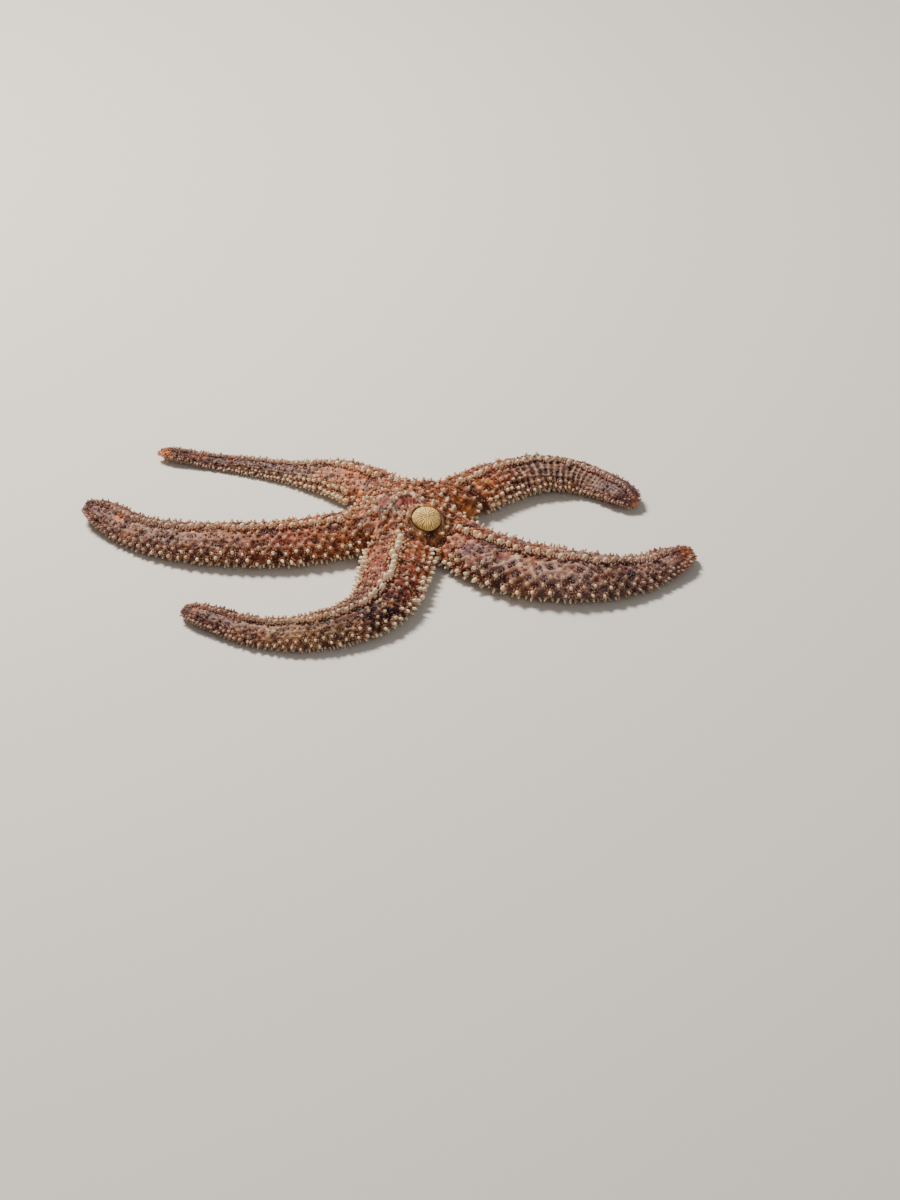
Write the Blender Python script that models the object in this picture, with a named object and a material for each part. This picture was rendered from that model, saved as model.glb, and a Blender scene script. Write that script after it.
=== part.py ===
"""Common starfish, Asterias rubens, as a still display model: life size, in metres, +Z up.

The body is one surface cut into named lengths. Five arms leave a low domed disc, each along a
middle line that turns through its own bends. A section across an arm is a dome above, two flat
ridges that rest on the floor below, and the feeding groove between the ridges. Inside the disc
the sections of neighbouring arms meet along the lines that run out to the notches between arms.
The larger spines are low pyramids on the faces where their rows run.
"""
import math
from collections import namedtuple

import bmesh
import bpy
import numpy as np
from mathutils import Matrix, Vector

# Driving dimensions
GAP = 0.0003                    # clear space at each cut and seat
DISC_CENTRE = (0.01023, 0.01743)  # middle of the disc, seen from the middle of the footprint
DISC_HEIGHT = 0.0200            # top of the disc, without its spines
ROOT_DISTANCE = 0.0310          # middle of the disc to the cut at an arm's root
NOTCH_STATION = 0.80            # share of the root distance at which an arm leaves its neighbours
MARGIN_SHARE = 0.30             # height of the widest level of a section, as a share of the crest
RIDGE_OUTER = 0.74              # edges of the resting ridge, as shares of the half width
RIDGE_INNER = 0.38
GROOVE_EDGE = 0.17              # edge of the groove's roof, as a share of the half width
GROOVE_DEPTH = 0.34             # depth of the groove, as a share of the crest height
RING_STEP = 0.0038              # distance between rings along an arm
DISC_RINGS = 8                  # rings from the middle of the disc to an arm's root
DORSAL_FACES = 11               # faces across the back, an odd number, so one row tops the crest
CUT_SHARES = (0.47, 0.76)       # cuts along an arm, as shares of its length
TRACE_STEPS = 240               # short straight steps that add up to an arm's middle line
TAPER_START = 0.15              # where an arm begins to narrow, as a share of its length
NECK_SPAN = (0.36, 0.60)        # the stretch over which a regrown arm narrows
END_ROUNDING = 2.2              # length of the round end, in half widths of the tip
TERMINAL_LENGTH = 0.0028        # length of the terminal plate at an arm's end
LIFT_START = 0.78               # where an arm's end begins to turn up
ARCH_SPAN = (0.30, 0.90)        # the stretch over which an arm may stand clear of the floor
SADDLE_POWER = 2.6              # flatness of the disc between its middle and the notches
VALLEY_POWER = (2.4, 0.6)       # fall of the lines between arms, from the disc's top to a notch

SPINE_HEIGHT = 0.0024           # marginal and crest spines at the arm's root
SPINE_TIP_SHARE = 0.45          # their height at the arm's tip, as a share of that at the root

MADREPORITE_RADIUS = 0.0060
MADREPORITE_CROWN = 0.0012      # rise of its domed face
MADREPORITE_RIM = 0.0014        # height of its rim
MADREPORITE_DISTANCE = 0.0205   # from the middle of the disc
MADREPORITE_SINK = 0.0004       # depth of its flat seat below the skin
SEAT_REACH = 0.0025             # width of the flat skin round it

MOUTH_RADIUS = 0.0080
MOUTH_SEAT = 0.0054             # depth of the mouth's seat in the underside
MOUTH_CLEARANCE = 0.0009        # height of the jaws above the floor
MOUTH_DIMPLE = 0.0022           # depth of the closed mouth between the jaws

Arm = namedtuple("Arm", "name heading length half_width tip_half fullness swell neck rise tip_lift arch bends")
# heading: degrees from +X. fullness: how long the arm keeps its width. swell: extra width halfway.
# neck: share of the width lost over NECK_SPAN, where a regrown end is thinner than the stump.
# rise: crest height per half width. bends: start and end as shares of the length, and degrees.
ARMS = (
    Arm("arm_1", 122, 0.132, 0.0145, 0.0046, 1.00, 0.00, 0.30, 0.94, 0.0030, 0.0000,
        ((0.14, 0.48, 36), (0.50, 1.00, 12))),
    Arm("arm_2", 205, 0.150, 0.0142, 0.0060, 2.00, 0.06, 0.00, 0.92, 0.0040, 0.0000,
        ((0.15, 0.55, -30), (0.50, 0.90, -38))),
    Arm("arm_3", 262, 0.162, 0.0140, 0.0048, 1.70, 0.00, 0.00, 0.94, 0.0025, 0.0000,
        ((0.33, 0.59, -50), (0.52, 0.86, -62))),
    Arm("arm_4", 315, 0.140, 0.0145, 0.0058, 2.20, 0.30, 0.00, 0.84, 0.0025, 0.0000,
        ((0.30, 0.62, 42), (0.57, 0.90, 44))),
    Arm("arm_5", 43, 0.118, 0.0138, 0.0056, 1.90, 0.00, 0.00, 0.94, 0.0030, 0.0015,
        ((0.32, 0.62, -34), (0.55, 0.92, -64))),
)

# Finishes: colour, roughness
RUST = ((0.42, 0.12, 0.045, 1.0), 0.52)
MAUVE = ((0.36, 0.17, 0.13, 1.0), 0.50)
MAROON = ((0.17, 0.055, 0.060, 1.0), 0.48)
CREAM = ((0.78, 0.62, 0.38, 1.0), 0.60)
FLESH = ((0.62, 0.36, 0.22, 1.0), 0.45)
EYE_RED = ((0.55, 0.10, 0.030, 1.0), 0.40)


def clear_scene():
    for obj in list(bpy.data.objects):
        bpy.data.objects.remove(obj, do_unlink=True)


def finish(name, look):
    """A material of one colour and roughness."""
    colour, roughness = look
    material = bpy.data.materials.new(name)
    material.use_nodes = True
    shader = material.node_tree.nodes["Principled BSDF"]
    shader.inputs["Base Color"].default_value = colour
    shader.inputs["Roughness"].default_value = roughness
    material.diffuse_color = colour
    return material


def ease(x):
    """Smooth step: 0 below 0, 1 above 1, level at both ends."""
    x = np.clip(x, 0.0, 1.0)
    return x * x * (3.0 - 2.0 * x)


def mix(a, b, share):
    return a + (b - a) * share


# The arm's middle line, width and height

def trace(arm, s):
    """Points and headings at the shares s of an arm: short steps along a turning heading add up."""
    fine = np.linspace(0.0, 1.0, TRACE_STEPS + 1)
    heading = np.full_like(fine, float(arm.heading))
    for start, end, angle in arm.bends:
        heading += angle * ease((fine - start) / (end - start))
    heading = np.radians(heading)
    middle = 0.5 * (heading[1:] + heading[:-1])
    step = arm.length / TRACE_STEPS
    x = np.concatenate(([0.0], np.cumsum(np.cos(middle)))) * step
    y = np.concatenate(([0.0], np.cumsum(np.sin(middle)))) * step
    return np.interp(s, fine, x), np.interp(s, fine, y), np.interp(s, fine, heading)


def half_width(arm, s):
    """Full at the root, a power-law taper to the tip's width, a neck if any, and a round end."""
    along = np.clip((s - TAPER_START) / (1.0 - TAPER_START), 0.0, 1.0)
    width = mix(arm.half_width, arm.tip_half, along ** arm.fullness)
    width = width * (1.0 + arm.swell * np.sin(math.pi * along) ** 2)
    width = width * (1.0 - arm.neck * ease((s - NECK_SPAN[0]) / (NECK_SPAN[1] - NECK_SPAN[0])))
    end = END_ROUNDING * arm.tip_half / arm.length
    into_end = np.clip((s - (1.0 - end)) / end, 0.0, 1.0)
    return width * np.sqrt(1.0 - into_end ** 2)


def crest_height(arm, s):
    """Height of the back: a share of the width, raised to the top of the disc inside the root."""
    root = ROOT_DISTANCE / arm.length
    height = arm.rise * half_width(arm, np.maximum(s, root))
    inside = np.clip(1.0 - (s / root) ** 2, 0.0, 1.0) ** 2
    return mix(height, DISC_HEIGHT, inside)


def floor_lift(arm, s):
    """How far an arm stands off the floor: a low arch halfway and an upturned tip."""
    lift = arm.tip_lift * ease((s - LIFT_START) / (1.0 - LIFT_START))
    span = ease((s - ARCH_SPAN[0]) / (ARCH_SPAN[1] - ARCH_SPAN[0]))
    return lift + arm.arch * np.sin(math.pi * span) ** 2


# The notches between arms

def notch(index):
    """The notch between arm number index and the next: its place and the height of its edge."""
    arm, neighbour = ARMS[index], ARMS[(index + 1) % len(ARMS)]
    gap = (neighbour.heading - arm.heading) % 360
    bearing = math.radians(arm.heading + gap / 2)
    width = 0.5 * (arm.half_width + neighbour.half_width)
    distance = width / math.sin(math.radians(gap / 2))
    height = MARGIN_SHARE * width * 0.5 * (arm.rise + neighbour.rise)
    return distance * math.cos(bearing), distance * math.sin(bearing), height


def side_edge(index, side, s):
    """The edge of a section: x, y and the heights at which the back and the underside end there.

    Along an arm it is the margin, where back and underside meet. Inside the disc it is the line
    that the arm shares with its neighbour, and the back stands above the underside.
    """
    arm = ARMS[index]
    root = ROOT_DISTANCE / arm.length
    x, y, heading = trace(arm, np.maximum(s, root))
    width = side * half_width(arm, np.maximum(s, root))
    margin_x = x - width * np.sin(heading)
    margin_y = y + width * np.cos(heading)
    margin_z = MARGIN_SHARE * crest_height(arm, np.maximum(s, root))
    notch_x, notch_y, notch_z = notch(index if side > 0 else index - 1)
    inner = np.clip(s / root / NOTCH_STATION, 0.0, 1.0)
    outer = np.clip((s / root - NOTCH_STATION) / (1.0 - NOTCH_STATION), 0.0, 1.0)
    edge_x = mix(notch_x * inner, margin_x, outer)
    edge_y = mix(notch_y * inner, margin_y, outer)
    edge_z = mix(notch_z, margin_z, outer)
    fall = (1.0 - inner ** VALLEY_POWER[0]) ** VALLEY_POWER[1]
    top = np.where(outer > 0, edge_z, mix(notch_z, DISC_HEIGHT, fall))
    bottom = np.where(outer > 0, edge_z, notch_z * ease((inner - 0.6) / 0.4))
    return edge_x, edge_y, top, bottom


def across(index, s, t):
    """Plan points at the shares t across the sections s, from -1 on the right to 1 on the left."""
    x, y, _ = trace(ARMS[index], s)
    left = side_edge(index, 1, s)
    right = side_edge(index, -1, s)
    share = np.abs(t)[None, :]
    edge = [np.where(t[None, :] > 0, l[:, None], r[:, None]) for l, r in zip(left, right)]
    return mix(x[:, None], edge[0], share), mix(y[:, None], edge[1], share), edge[2], edge[3]


def dorsal(index, s, angle):
    """The back: an ellipse over each section, flattened to a smooth saddle inside the disc."""
    arm = ARMS[index]
    x, y, top, _ = across(index, s, np.cos(angle))
    root = ROOT_DISTANCE / arm.length
    power = mix(SADDLE_POWER, 1.0, ease(s / root / NOTCH_STATION))[:, None]
    profile = np.sin(angle)[None, :].clip(0.0, 1.0) ** power
    z = mix(top, crest_height(arm, s)[:, None], profile) + floor_lift(arm, s)[:, None]
    return np.stack([x, y, z], -1)


def oral(index, s):
    """The underside between the margins: ridge, groove and ridge, from right to left."""
    arm = ARMS[index]
    t = np.array([-RIDGE_OUTER, -RIDGE_INNER, -GROOVE_EDGE, GROOVE_EDGE, RIDGE_INNER, RIDGE_OUTER])
    x, y, _, _ = across(index, s, t)
    depth = GROOVE_DEPTH * arm.rise * half_width(arm, np.maximum(s, ROOT_DISTANCE / arm.length))
    roof = (np.abs(t) <= GROOVE_EDGE).astype(float)
    z = depth[:, None] * roof[None, :] + floor_lift(arm, s)[:, None]
    return np.stack([x, y, z], -1)


def sections(index, s):
    """Rings of points, one ring for each share in s: the back from left to right, then the underside."""
    angle = np.linspace(0.0, math.pi, DORSAL_FACES + 1)
    back = dorsal(index, s, angle)
    _, _, _, bottom = across(index, s, np.array([1.0, -1.0]))
    lift = floor_lift(ARMS[index], s)[:, None]
    left_foot = back[:, :1].copy()
    right_foot = back[:, -1:].copy()
    left_foot[..., 2] = bottom[:, :1] + lift
    right_foot[..., 2] = bottom[:, 1:] + lift
    return back, np.concatenate([right_foot, oral(index, s), left_foot], axis=1)


# Meshes

def place(points, way=1.0):
    """Move points from the middle of the disc to the model's frame, or back with way -1."""
    return points + way * np.array([DISC_CENTRE[0], DISC_CENTRE[1], 0.0])


def add_grid(bm, points):
    """Quads over a grid of points, returned by row and column."""
    rows, columns = points.shape[:2]
    corners = [[bm.verts.new(p) for p in row] for row in place(points)]
    faces = {}
    for i in range(rows - 1):
        for j in range(columns - 1):
            loop = (corners[i][j], corners[i + 1][j], corners[i + 1][j + 1], corners[i][j + 1])
            faces[i, j] = bm.faces.new(loop)
    return faces


def raise_spine(bm, face, height):
    """Turn one face into a low pyramid."""
    middle = face.calc_center_median()
    normal = face.normal.copy()
    poked = bmesh.ops.poke(bm, faces=[face])
    poked["verts"][0].co = middle + normal * height


def spine_rows(rings):
    """Faces of the back that carry spines: crest and upper margins, then sides and lower margins."""
    crest = DORSAL_FACES // 2
    last = DORSAL_FACES - 1
    for ring in range(rings):
        columns = (crest, 1, last - 1) if ring % 2 == 0 else (crest - 2, crest + 2, 0, last)
        for column in columns:
            yield ring, column


def finish_mesh(bm, name, look):
    """Close the surface, point it outwards and make the named object."""
    bmesh.ops.remove_doubles(bm, verts=bm.verts, dist=1e-6)
    bmesh.ops.dissolve_degenerate(bm, edges=bm.edges, dist=1e-6)
    bmesh.ops.recalc_face_normals(bm, faces=bm.faces)
    mesh = bpy.data.meshes.new(name)
    bm.to_mesh(mesh)
    bm.free()
    mesh.materials.append(finish(name + "_finish", look))
    obj = bpy.data.objects.new(name, mesh)
    bpy.context.scene.collection.objects.link(obj)
    return obj


def arm_length(index, name, start, end, look):
    """One length of an arm, between the distances start and end, closed by a flat face at each cut."""
    arm = ARMS[index]
    count = max(3, round((end - start) / RING_STEP))
    s = np.linspace(start, end, count + 1) / arm.length
    back, under = sections(index, s)
    bm = bmesh.new()
    faces = add_grid(bm, back)
    add_grid(bm, under)
    for end_ring in (0, count):
        loop = np.concatenate([back[end_ring], under[end_ring, 1:-1]])
        bm.faces.new([bm.verts.new(p) for p in place(loop)])
    bmesh.ops.remove_doubles(bm, verts=bm.verts, dist=1e-6)
    bmesh.ops.recalc_face_normals(bm, faces=bm.faces)
    bm.normal_update()
    for ring, column in spine_rows(count):
        along = s[ring]
        raise_spine(bm, faces[ring, column], SPINE_HEIGHT * mix(1.0, SPINE_TIP_SHARE, along))
    return finish_mesh(bm, name, look)


def terminal_plate(index, start):
    """The rounded end of an arm, which carries its eyespot."""
    arm = ARMS[index]
    s = 1.0 - (1.0 - start / arm.length) * np.cos(np.linspace(0.0, math.pi / 2, 5)) ** 2
    back, under = sections(index, s)
    bm = bmesh.new()
    add_grid(bm, back)
    add_grid(bm, under)
    loop = np.concatenate([back[0], under[0, 1:-1]])
    bm.faces.new([bm.verts.new(p) for p in place(loop)])
    return finish_mesh(bm, arm.name + "_terminal_plate", EYE_RED)


def seat_back(points):
    """Lay the skin round the madreporite flat, and let it rise again to its own shape further out."""
    frame = np.array(madreporite_frame())
    local = (place(points) - frame[:3, 3]) @ frame[:3, :3]
    distance = np.hypot(local[..., 0], local[..., 1])
    flat = MADREPORITE_RADIUS + SEAT_REACH
    local[..., 2] *= ease((distance - flat) / SEAT_REACH)
    return place(local @ frame[:3, :3].T + frame[:3, 3], -1.0)


def disc_underside(index, outer):
    """The underside of one sector: the mouth's seat, its round lip, and then rings to the root."""
    inner = np.array([0.40, 0.60]) * ROOT_DISTANCE / ARMS[index].length
    s = np.concatenate([inner, outer])
    _, under = sections(index, s)
    spokes = under[0] / np.linalg.norm(under[0, :, :2], axis=1)[:, None] * MOUTH_RADIUS
    lip = spokes.copy()
    lip[:, 2] = under[0, :, 2]
    seat = spokes.copy()
    seat[:, 2] = MOUTH_SEAT
    pole = np.zeros_like(seat)
    pole[:, 2] = MOUTH_SEAT
    return np.concatenate([[pole, seat, lip], under])


def disc():
    """The middle of the body: five sectors that meet along the lines to the notches."""
    bm = bmesh.new()
    spines = []
    for index, arm in enumerate(ARMS):
        inner = np.linspace(0.0, NOTCH_STATION, DISC_RINGS - 1)
        outer = np.array([0.5 * (NOTCH_STATION + 1.0), 1.0 - 0.5 * GAP / ROOT_DISTANCE])
        s = np.append(inner, outer) * ROOT_DISTANCE / arm.length
        back, _ = sections(index, s)
        under = disc_underside(index, s[-3:])
        faces = add_grid(bm, seat_back(back))
        add_grid(bm, under)
        loop = np.concatenate([back[-1], under[-1, 1:-1]])
        bm.faces.new([bm.verts.new(p) for p in place(loop)])
        spines += [faces[key] for key in spine_rows(DISC_RINGS) if key[0] > 1 and 2 < key[1] < 8]
    bmesh.ops.remove_doubles(bm, verts=bm.verts, dist=1e-6)
    bmesh.ops.recalc_face_normals(bm, faces=bm.faces)
    bm.normal_update()
    seat = madreporite_frame().translation
    for face in spines:
        if (face.calc_center_median() - seat).length > MADREPORITE_RADIUS + SEAT_REACH:
            raise_spine(bm, face, SPINE_HEIGHT)
    return finish_mesh(bm, "disc", RUST)


def turned(bm, profile, segments, matrix):
    """A closed turned shape: profile gives radius and height, from the lower pole to the upper one."""
    angle = np.linspace(0.0, 2.0 * math.pi, segments + 1)
    radius, height = np.array(profile).T
    x = radius[:, None] * np.cos(angle)[None, :]
    y = radius[:, None] * np.sin(angle)[None, :]
    z = np.repeat(height[:, None], segments + 1, axis=1)
    grid = np.stack([x, y, z], -1)
    corners = [[bm.verts.new(matrix @ Vector(p)) for p in row] for row in grid]
    for i in range(len(profile) - 1):
        for j in range(segments):
            bm.faces.new((corners[i][j], corners[i + 1][j], corners[i + 1][j + 1], corners[i][j + 1]))


def madreporite_frame():
    """Place and lean of the madreporite: on the disc, between arms 3 and 4, square to the skin."""
    index = 2
    x, y, _ = notch(index)
    bearing = math.atan2(y, x)
    reach = math.hypot(x, y)
    root = ROOT_DISTANCE / ARMS[index].length
    distances = np.array([MADREPORITE_DISTANCE - 0.003, MADREPORITE_DISTANCE, MADREPORITE_DISTANCE + 0.003])
    _, _, top, _ = side_edge(index, 1, distances / reach * NOTCH_STATION * root)
    slope = (top[2] - top[0]) / (distances[2] - distances[0])
    outward = Vector((math.cos(bearing), math.sin(bearing), 0.0))
    normal = (Vector((0.0, 0.0, 1.0)) - outward * slope).normalized()
    middle = outward * MADREPORITE_DISTANCE + Vector((DISC_CENTRE[0], DISC_CENTRE[1], top[1]))
    middle -= normal * MADREPORITE_SINK
    turn = normal.to_track_quat("Z", "Y").to_matrix().to_4x4()
    return Matrix.Translation(middle) @ turn


def madreporite():
    """The sieve plate: a low button with a domed face, in its seat on the disc."""
    base = GAP
    rim = base + MADREPORITE_RIM
    profile = [(0.0, base), (MADREPORITE_RADIUS, base), (MADREPORITE_RADIUS, rim)]
    for share in (0.80, 0.50, 0.0):
        profile.append((MADREPORITE_RADIUS * share, rim + MADREPORITE_CROWN * (1.0 - share ** 2)))
    bm = bmesh.new()
    turned(bm, profile, 24, madreporite_frame())
    return finish_mesh(bm, "madreporite", CREAM)


def mouth():
    """The mouth plate: five jaws round a closed, puckered mouth, in its seat under the disc."""
    middle = Matrix.Translation((DISC_CENTRE[0], DISC_CENTRE[1], 0.0))
    radius = MOUTH_RADIUS - 1.5 * GAP
    top = MOUTH_SEAT - GAP
    low = MOUTH_CLEARANCE
    profile = [(0.0, low + MOUTH_DIMPLE), (0.22 * radius, low + MOUTH_DIMPLE * 0.8),
               (0.42 * radius, low + 0.0004), (0.62 * radius, low), (0.86 * radius, low + 0.0005),
               (radius, low + 0.0014), (radius, top), (0.0, top)]
    bm = bmesh.new()
    turned(bm, profile, 20, middle)
    return finish_mesh(bm, "mouth", FLESH)


def build():
    clear_scene()
    disc()
    madreporite()
    mouth()
    for index, arm in enumerate(ARMS):
        cuts = [ROOT_DISTANCE] + [share * arm.length for share in CUT_SHARES]
        cuts.append(arm.length - TERMINAL_LENGTH)
        names = (("base", RUST), ("middle", MAUVE), ("tip", MAROON))
        for (part, look), start, end in zip(names, cuts, cuts[1:]):
            arm_length(index, arm.name + "_" + part, start + GAP / 2, end - GAP / 2, look)
        terminal_plate(index, cuts[-1] + GAP / 2)


build()
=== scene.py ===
import math
from collections import namedtuple

import bpy
import numpy as np
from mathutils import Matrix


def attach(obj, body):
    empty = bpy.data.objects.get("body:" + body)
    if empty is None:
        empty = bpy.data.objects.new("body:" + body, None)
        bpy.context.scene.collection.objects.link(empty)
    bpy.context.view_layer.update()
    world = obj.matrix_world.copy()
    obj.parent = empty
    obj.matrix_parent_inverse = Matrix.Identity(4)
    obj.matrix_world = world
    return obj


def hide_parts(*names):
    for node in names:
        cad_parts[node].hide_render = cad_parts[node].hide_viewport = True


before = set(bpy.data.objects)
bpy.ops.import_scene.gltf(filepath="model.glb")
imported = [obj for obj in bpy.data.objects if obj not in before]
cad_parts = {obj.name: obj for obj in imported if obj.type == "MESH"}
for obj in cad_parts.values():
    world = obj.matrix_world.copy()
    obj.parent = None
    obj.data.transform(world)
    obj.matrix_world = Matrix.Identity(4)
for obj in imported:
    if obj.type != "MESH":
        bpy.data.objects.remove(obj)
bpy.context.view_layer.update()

# ---------------------------------------------------------------------------------------------
# The skin. One leathery hide covers disc and arms without a seam. It is thrown into relief by
# the chalky plates bedded in it: a boss over each plate, a low bar from plate to plate, and
# soft pits between. It follows the sections of the solids, its middle level 0.3 mm inside them.
# ---------------------------------------------------------------------------------------------
DISC_CENTRE = np.array([0.01023, 0.01743, 0.0])
DISC_HEIGHT = 0.0200
ROOT_DISTANCE = 0.0310          # from the middle of the disc to where an arm begins
NOTCH_STATION = 0.80            # where two arms part, as a share of that distance
MARGIN_SHARE = 0.30             # height of the margin, as a share of the crest's
RIDGE_OUTER, RIDGE_INNER = 0.60, 0.40    # edges of the resting ridge, as shares of the half width
GROOVE_EDGE, GROOVE_DEPTH = 0.14, 0.34
UNDER_SHARE = 0.09              # clearance of the skin's ridges, as a share of the half width
TRACE_STEPS = 240
TAPER_START = 0.15
NECK_SPAN = (0.36, 0.60)        # the stretch over which a regrown arm narrows
END_ROUNDING = 2.2
LIFT_START = 0.78
ARCH_SPAN = (0.30, 0.90)
SADDLE_POWER = 2.6
VALLEY_POWER = (2.4, 0.6)
MOUTH_RADIUS = 0.0080
MOUTH_SEAT = 0.0054

Arm = namedtuple("Arm", "name heading length half_width tip_half fullness swell neck rise tip_lift "
                        "arch bends")
ARMS = (
    Arm("arm_1", 122, 0.132, 0.0145, 0.0046, 1.00, 0.00, 0.30, 0.94, 0.0030, 0.0000,
        ((0.14, 0.48, 36), (0.50, 1.00, 12))),
    Arm("arm_2", 205, 0.150, 0.0142, 0.0060, 2.00, 0.06, 0.00, 0.92, 0.0040, 0.0000,
        ((0.15, 0.55, -30), (0.50, 0.90, -38))),
    Arm("arm_3", 262, 0.162, 0.0140, 0.0048, 1.70, 0.00, 0.00, 0.94, 0.0025, 0.0000,
        ((0.33, 0.59, -50), (0.52, 0.86, -62))),
    Arm("arm_4", 315, 0.140, 0.0145, 0.0058, 2.20, 0.30, 0.00, 0.84, 0.0025, 0.0000,
        ((0.30, 0.62, 42), (0.57, 0.90, 44))),
    Arm("arm_5", 43, 0.118, 0.0138, 0.0056, 1.90, 0.00, 0.00, 0.94, 0.0030, 0.0015,
        ((0.32, 0.62, -34), (0.55, 0.92, -64))),
)


def ease(x):
    """Smooth step: 0 below 0, 1 above 1, level at both ends."""
    x = np.clip(x, 0.0, 1.0)
    return x * x * (3.0 - 2.0 * x)


def mix(a, b, share):
    """The value that lies the given share of the way from a to b."""
    return a + (b - a) * share


def unit(vectors):
    """Vectors divided by their own lengths."""
    return vectors / np.maximum(np.linalg.norm(vectors, axis=-1, keepdims=True), 1e-12)


def trace(arm, s):
    """Points and headings at the shares s of an arm: short steps along a turning heading add up."""
    fine = np.linspace(0.0, 1.0, TRACE_STEPS + 1)
    heading = np.full_like(fine, float(arm.heading))
    for start, end, angle in arm.bends:
        heading += angle * ease((fine - start) / (end - start))
    heading = np.radians(heading)
    middle = 0.5 * (heading[1:] + heading[:-1])
    step = arm.length / TRACE_STEPS
    x = np.concatenate(([0.0], np.cumsum(np.cos(middle)))) * step
    y = np.concatenate(([0.0], np.cumsum(np.sin(middle)))) * step
    return np.interp(s, fine, x), np.interp(s, fine, y), np.interp(s, fine, heading)


def half_width(arm, s):
    """Full at the root, a power-law taper to the tip's width, a neck if any, and a round end."""
    along = np.clip((s - TAPER_START) / (1.0 - TAPER_START), 0.0, 1.0)
    width = mix(arm.half_width, arm.tip_half, along ** arm.fullness)
    width = width * (1.0 + arm.swell * np.sin(math.pi * along) ** 2)
    width = width * (1.0 - arm.neck * ease((s - NECK_SPAN[0]) / (NECK_SPAN[1] - NECK_SPAN[0])))
    end = END_ROUNDING * arm.tip_half / arm.length
    into_end = np.clip((s - (1.0 - end)) / end, 0.0, 1.0)
    return width * np.sqrt(1.0 - into_end ** 2)


def crest_height(arm, s):
    """Height of the back: a share of the width, raised to the top of the disc inside the root."""
    root = ROOT_DISTANCE / arm.length
    height = arm.rise * half_width(arm, np.maximum(s, root))
    inside = np.clip(1.0 - (s / root) ** 2, 0.0, 1.0) ** 2
    return mix(height, DISC_HEIGHT, inside)


def floor_lift(arm, s):
    """How far an arm stands off the floor: a low arch halfway and an upturned tip."""
    lift = arm.tip_lift * ease((s - LIFT_START) / (1.0 - LIFT_START))
    span = ease((s - ARCH_SPAN[0]) / (ARCH_SPAN[1] - ARCH_SPAN[0]))
    return lift + arm.arch * np.sin(math.pi * span) ** 2


def notch(index):
    """The notch between arm number index and the next: its place, the height of its edge, and the
    two arms' mean half width.
    """
    arm, neighbour = ARMS[index], ARMS[(index + 1) % len(ARMS)]
    gap = (neighbour.heading - arm.heading) % 360
    bearing = math.radians(arm.heading + gap / 2)
    width = 0.5 * (arm.half_width + neighbour.half_width)
    distance = width / math.sin(math.radians(gap / 2))
    height = MARGIN_SHARE * width * 0.5 * (arm.rise + neighbour.rise)
    return distance * math.cos(bearing), distance * math.sin(bearing), height, width


def side_edge(index, side, s):
    """The edge of a section: x, y and the heights at which the back and the underside end there.
    Along an arm it is the margin. Inside the disc it is the line shared with the neighbour.
    """
    arm = ARMS[index]
    root = ROOT_DISTANCE / arm.length
    x, y, heading = trace(arm, np.maximum(s, root))
    width = side * half_width(arm, np.maximum(s, root))
    margin_x = x - width * np.sin(heading)
    margin_y = y + width * np.cos(heading)
    margin_z = MARGIN_SHARE * crest_height(arm, np.maximum(s, root))
    notch_x, notch_y, notch_z, notch_width = notch(index if side > 0 else index - 1)
    inner = np.clip(s / root / NOTCH_STATION, 0.0, 1.0)
    outer = np.clip((s / root - NOTCH_STATION) / (1.0 - NOTCH_STATION), 0.0, 1.0)
    edge_x = mix(notch_x * inner, margin_x, outer)
    edge_y = mix(notch_y * inner, margin_y, outer)
    edge_z = mix(notch_z, margin_z, outer)
    fall = (1.0 - inner ** VALLEY_POWER[0]) ** VALLEY_POWER[1]
    top = np.where(outer > 0, edge_z, mix(notch_z, DISC_HEIGHT, fall))
    bottom = mix(UNDER_SHARE * notch_width, notch_z, ease((inner - 0.6) / 0.4))
    bottom = np.where(outer > 0, edge_z, bottom)
    return edge_x, edge_y, top, bottom


def across(index, s, t):
    """Plan points at the shares t across the sections s, from -1 on the right to 1 on the left."""
    x, y, _ = trace(ARMS[index], s)
    left = side_edge(index, 1, s)
    right = side_edge(index, -1, s)
    share = np.abs(t)[None, :]
    edge = [np.where(t[None, :] > 0, l[:, None], r[:, None]) for l, r in zip(left, right)]
    return mix(x[:, None], edge[0], share), mix(y[:, None], edge[1], share), edge[2], edge[3]


def back_surface(index, s, angle):
    """The back: an ellipse over each section, flattened to a smooth saddle inside the disc."""
    arm = ARMS[index]
    x, y, top, _ = across(index, s, np.cos(angle))
    root = ROOT_DISTANCE / arm.length
    power = mix(SADDLE_POWER, 1.0, ease(s / root / NOTCH_STATION))[:, None]
    profile = np.sin(angle)[None, :].clip(0.0, 1.0) ** power
    z = mix(top, crest_height(arm, s)[:, None], profile) + floor_lift(arm, s)[:, None]
    return np.stack([x, y, z], -1)


def under_surface(index, s, t):
    """The underside: round margins, a resting ridge each side and the feeding groove between."""
    arm = ARMS[index]
    x, y, _, bottom = across(index, s, t)
    share = np.abs(t)[None, :]
    root = ROOT_DISTANCE / arm.length
    width = half_width(arm, np.maximum(s, root))[:, None]
    ridge = UNDER_SHARE * width
    climb = ((share - RIDGE_OUTER) / (1.0 - RIDGE_OUTER)).clip(0.0, 1.0)
    climb = mix(ease(climb), climb ** 1.8, ease((s / root - 0.6) / 0.4)[:, None])
    z = mix(ridge, bottom, climb)
    groove = 1.0 - ease((share - GROOVE_EDGE) / (RIDGE_INNER - GROOVE_EDGE))
    z = z + (GROOVE_DEPTH * arm.rise * width - ridge) * groove + floor_lift(arm, s)[:, None]
    return np.stack([x, y, z], -1)


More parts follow.
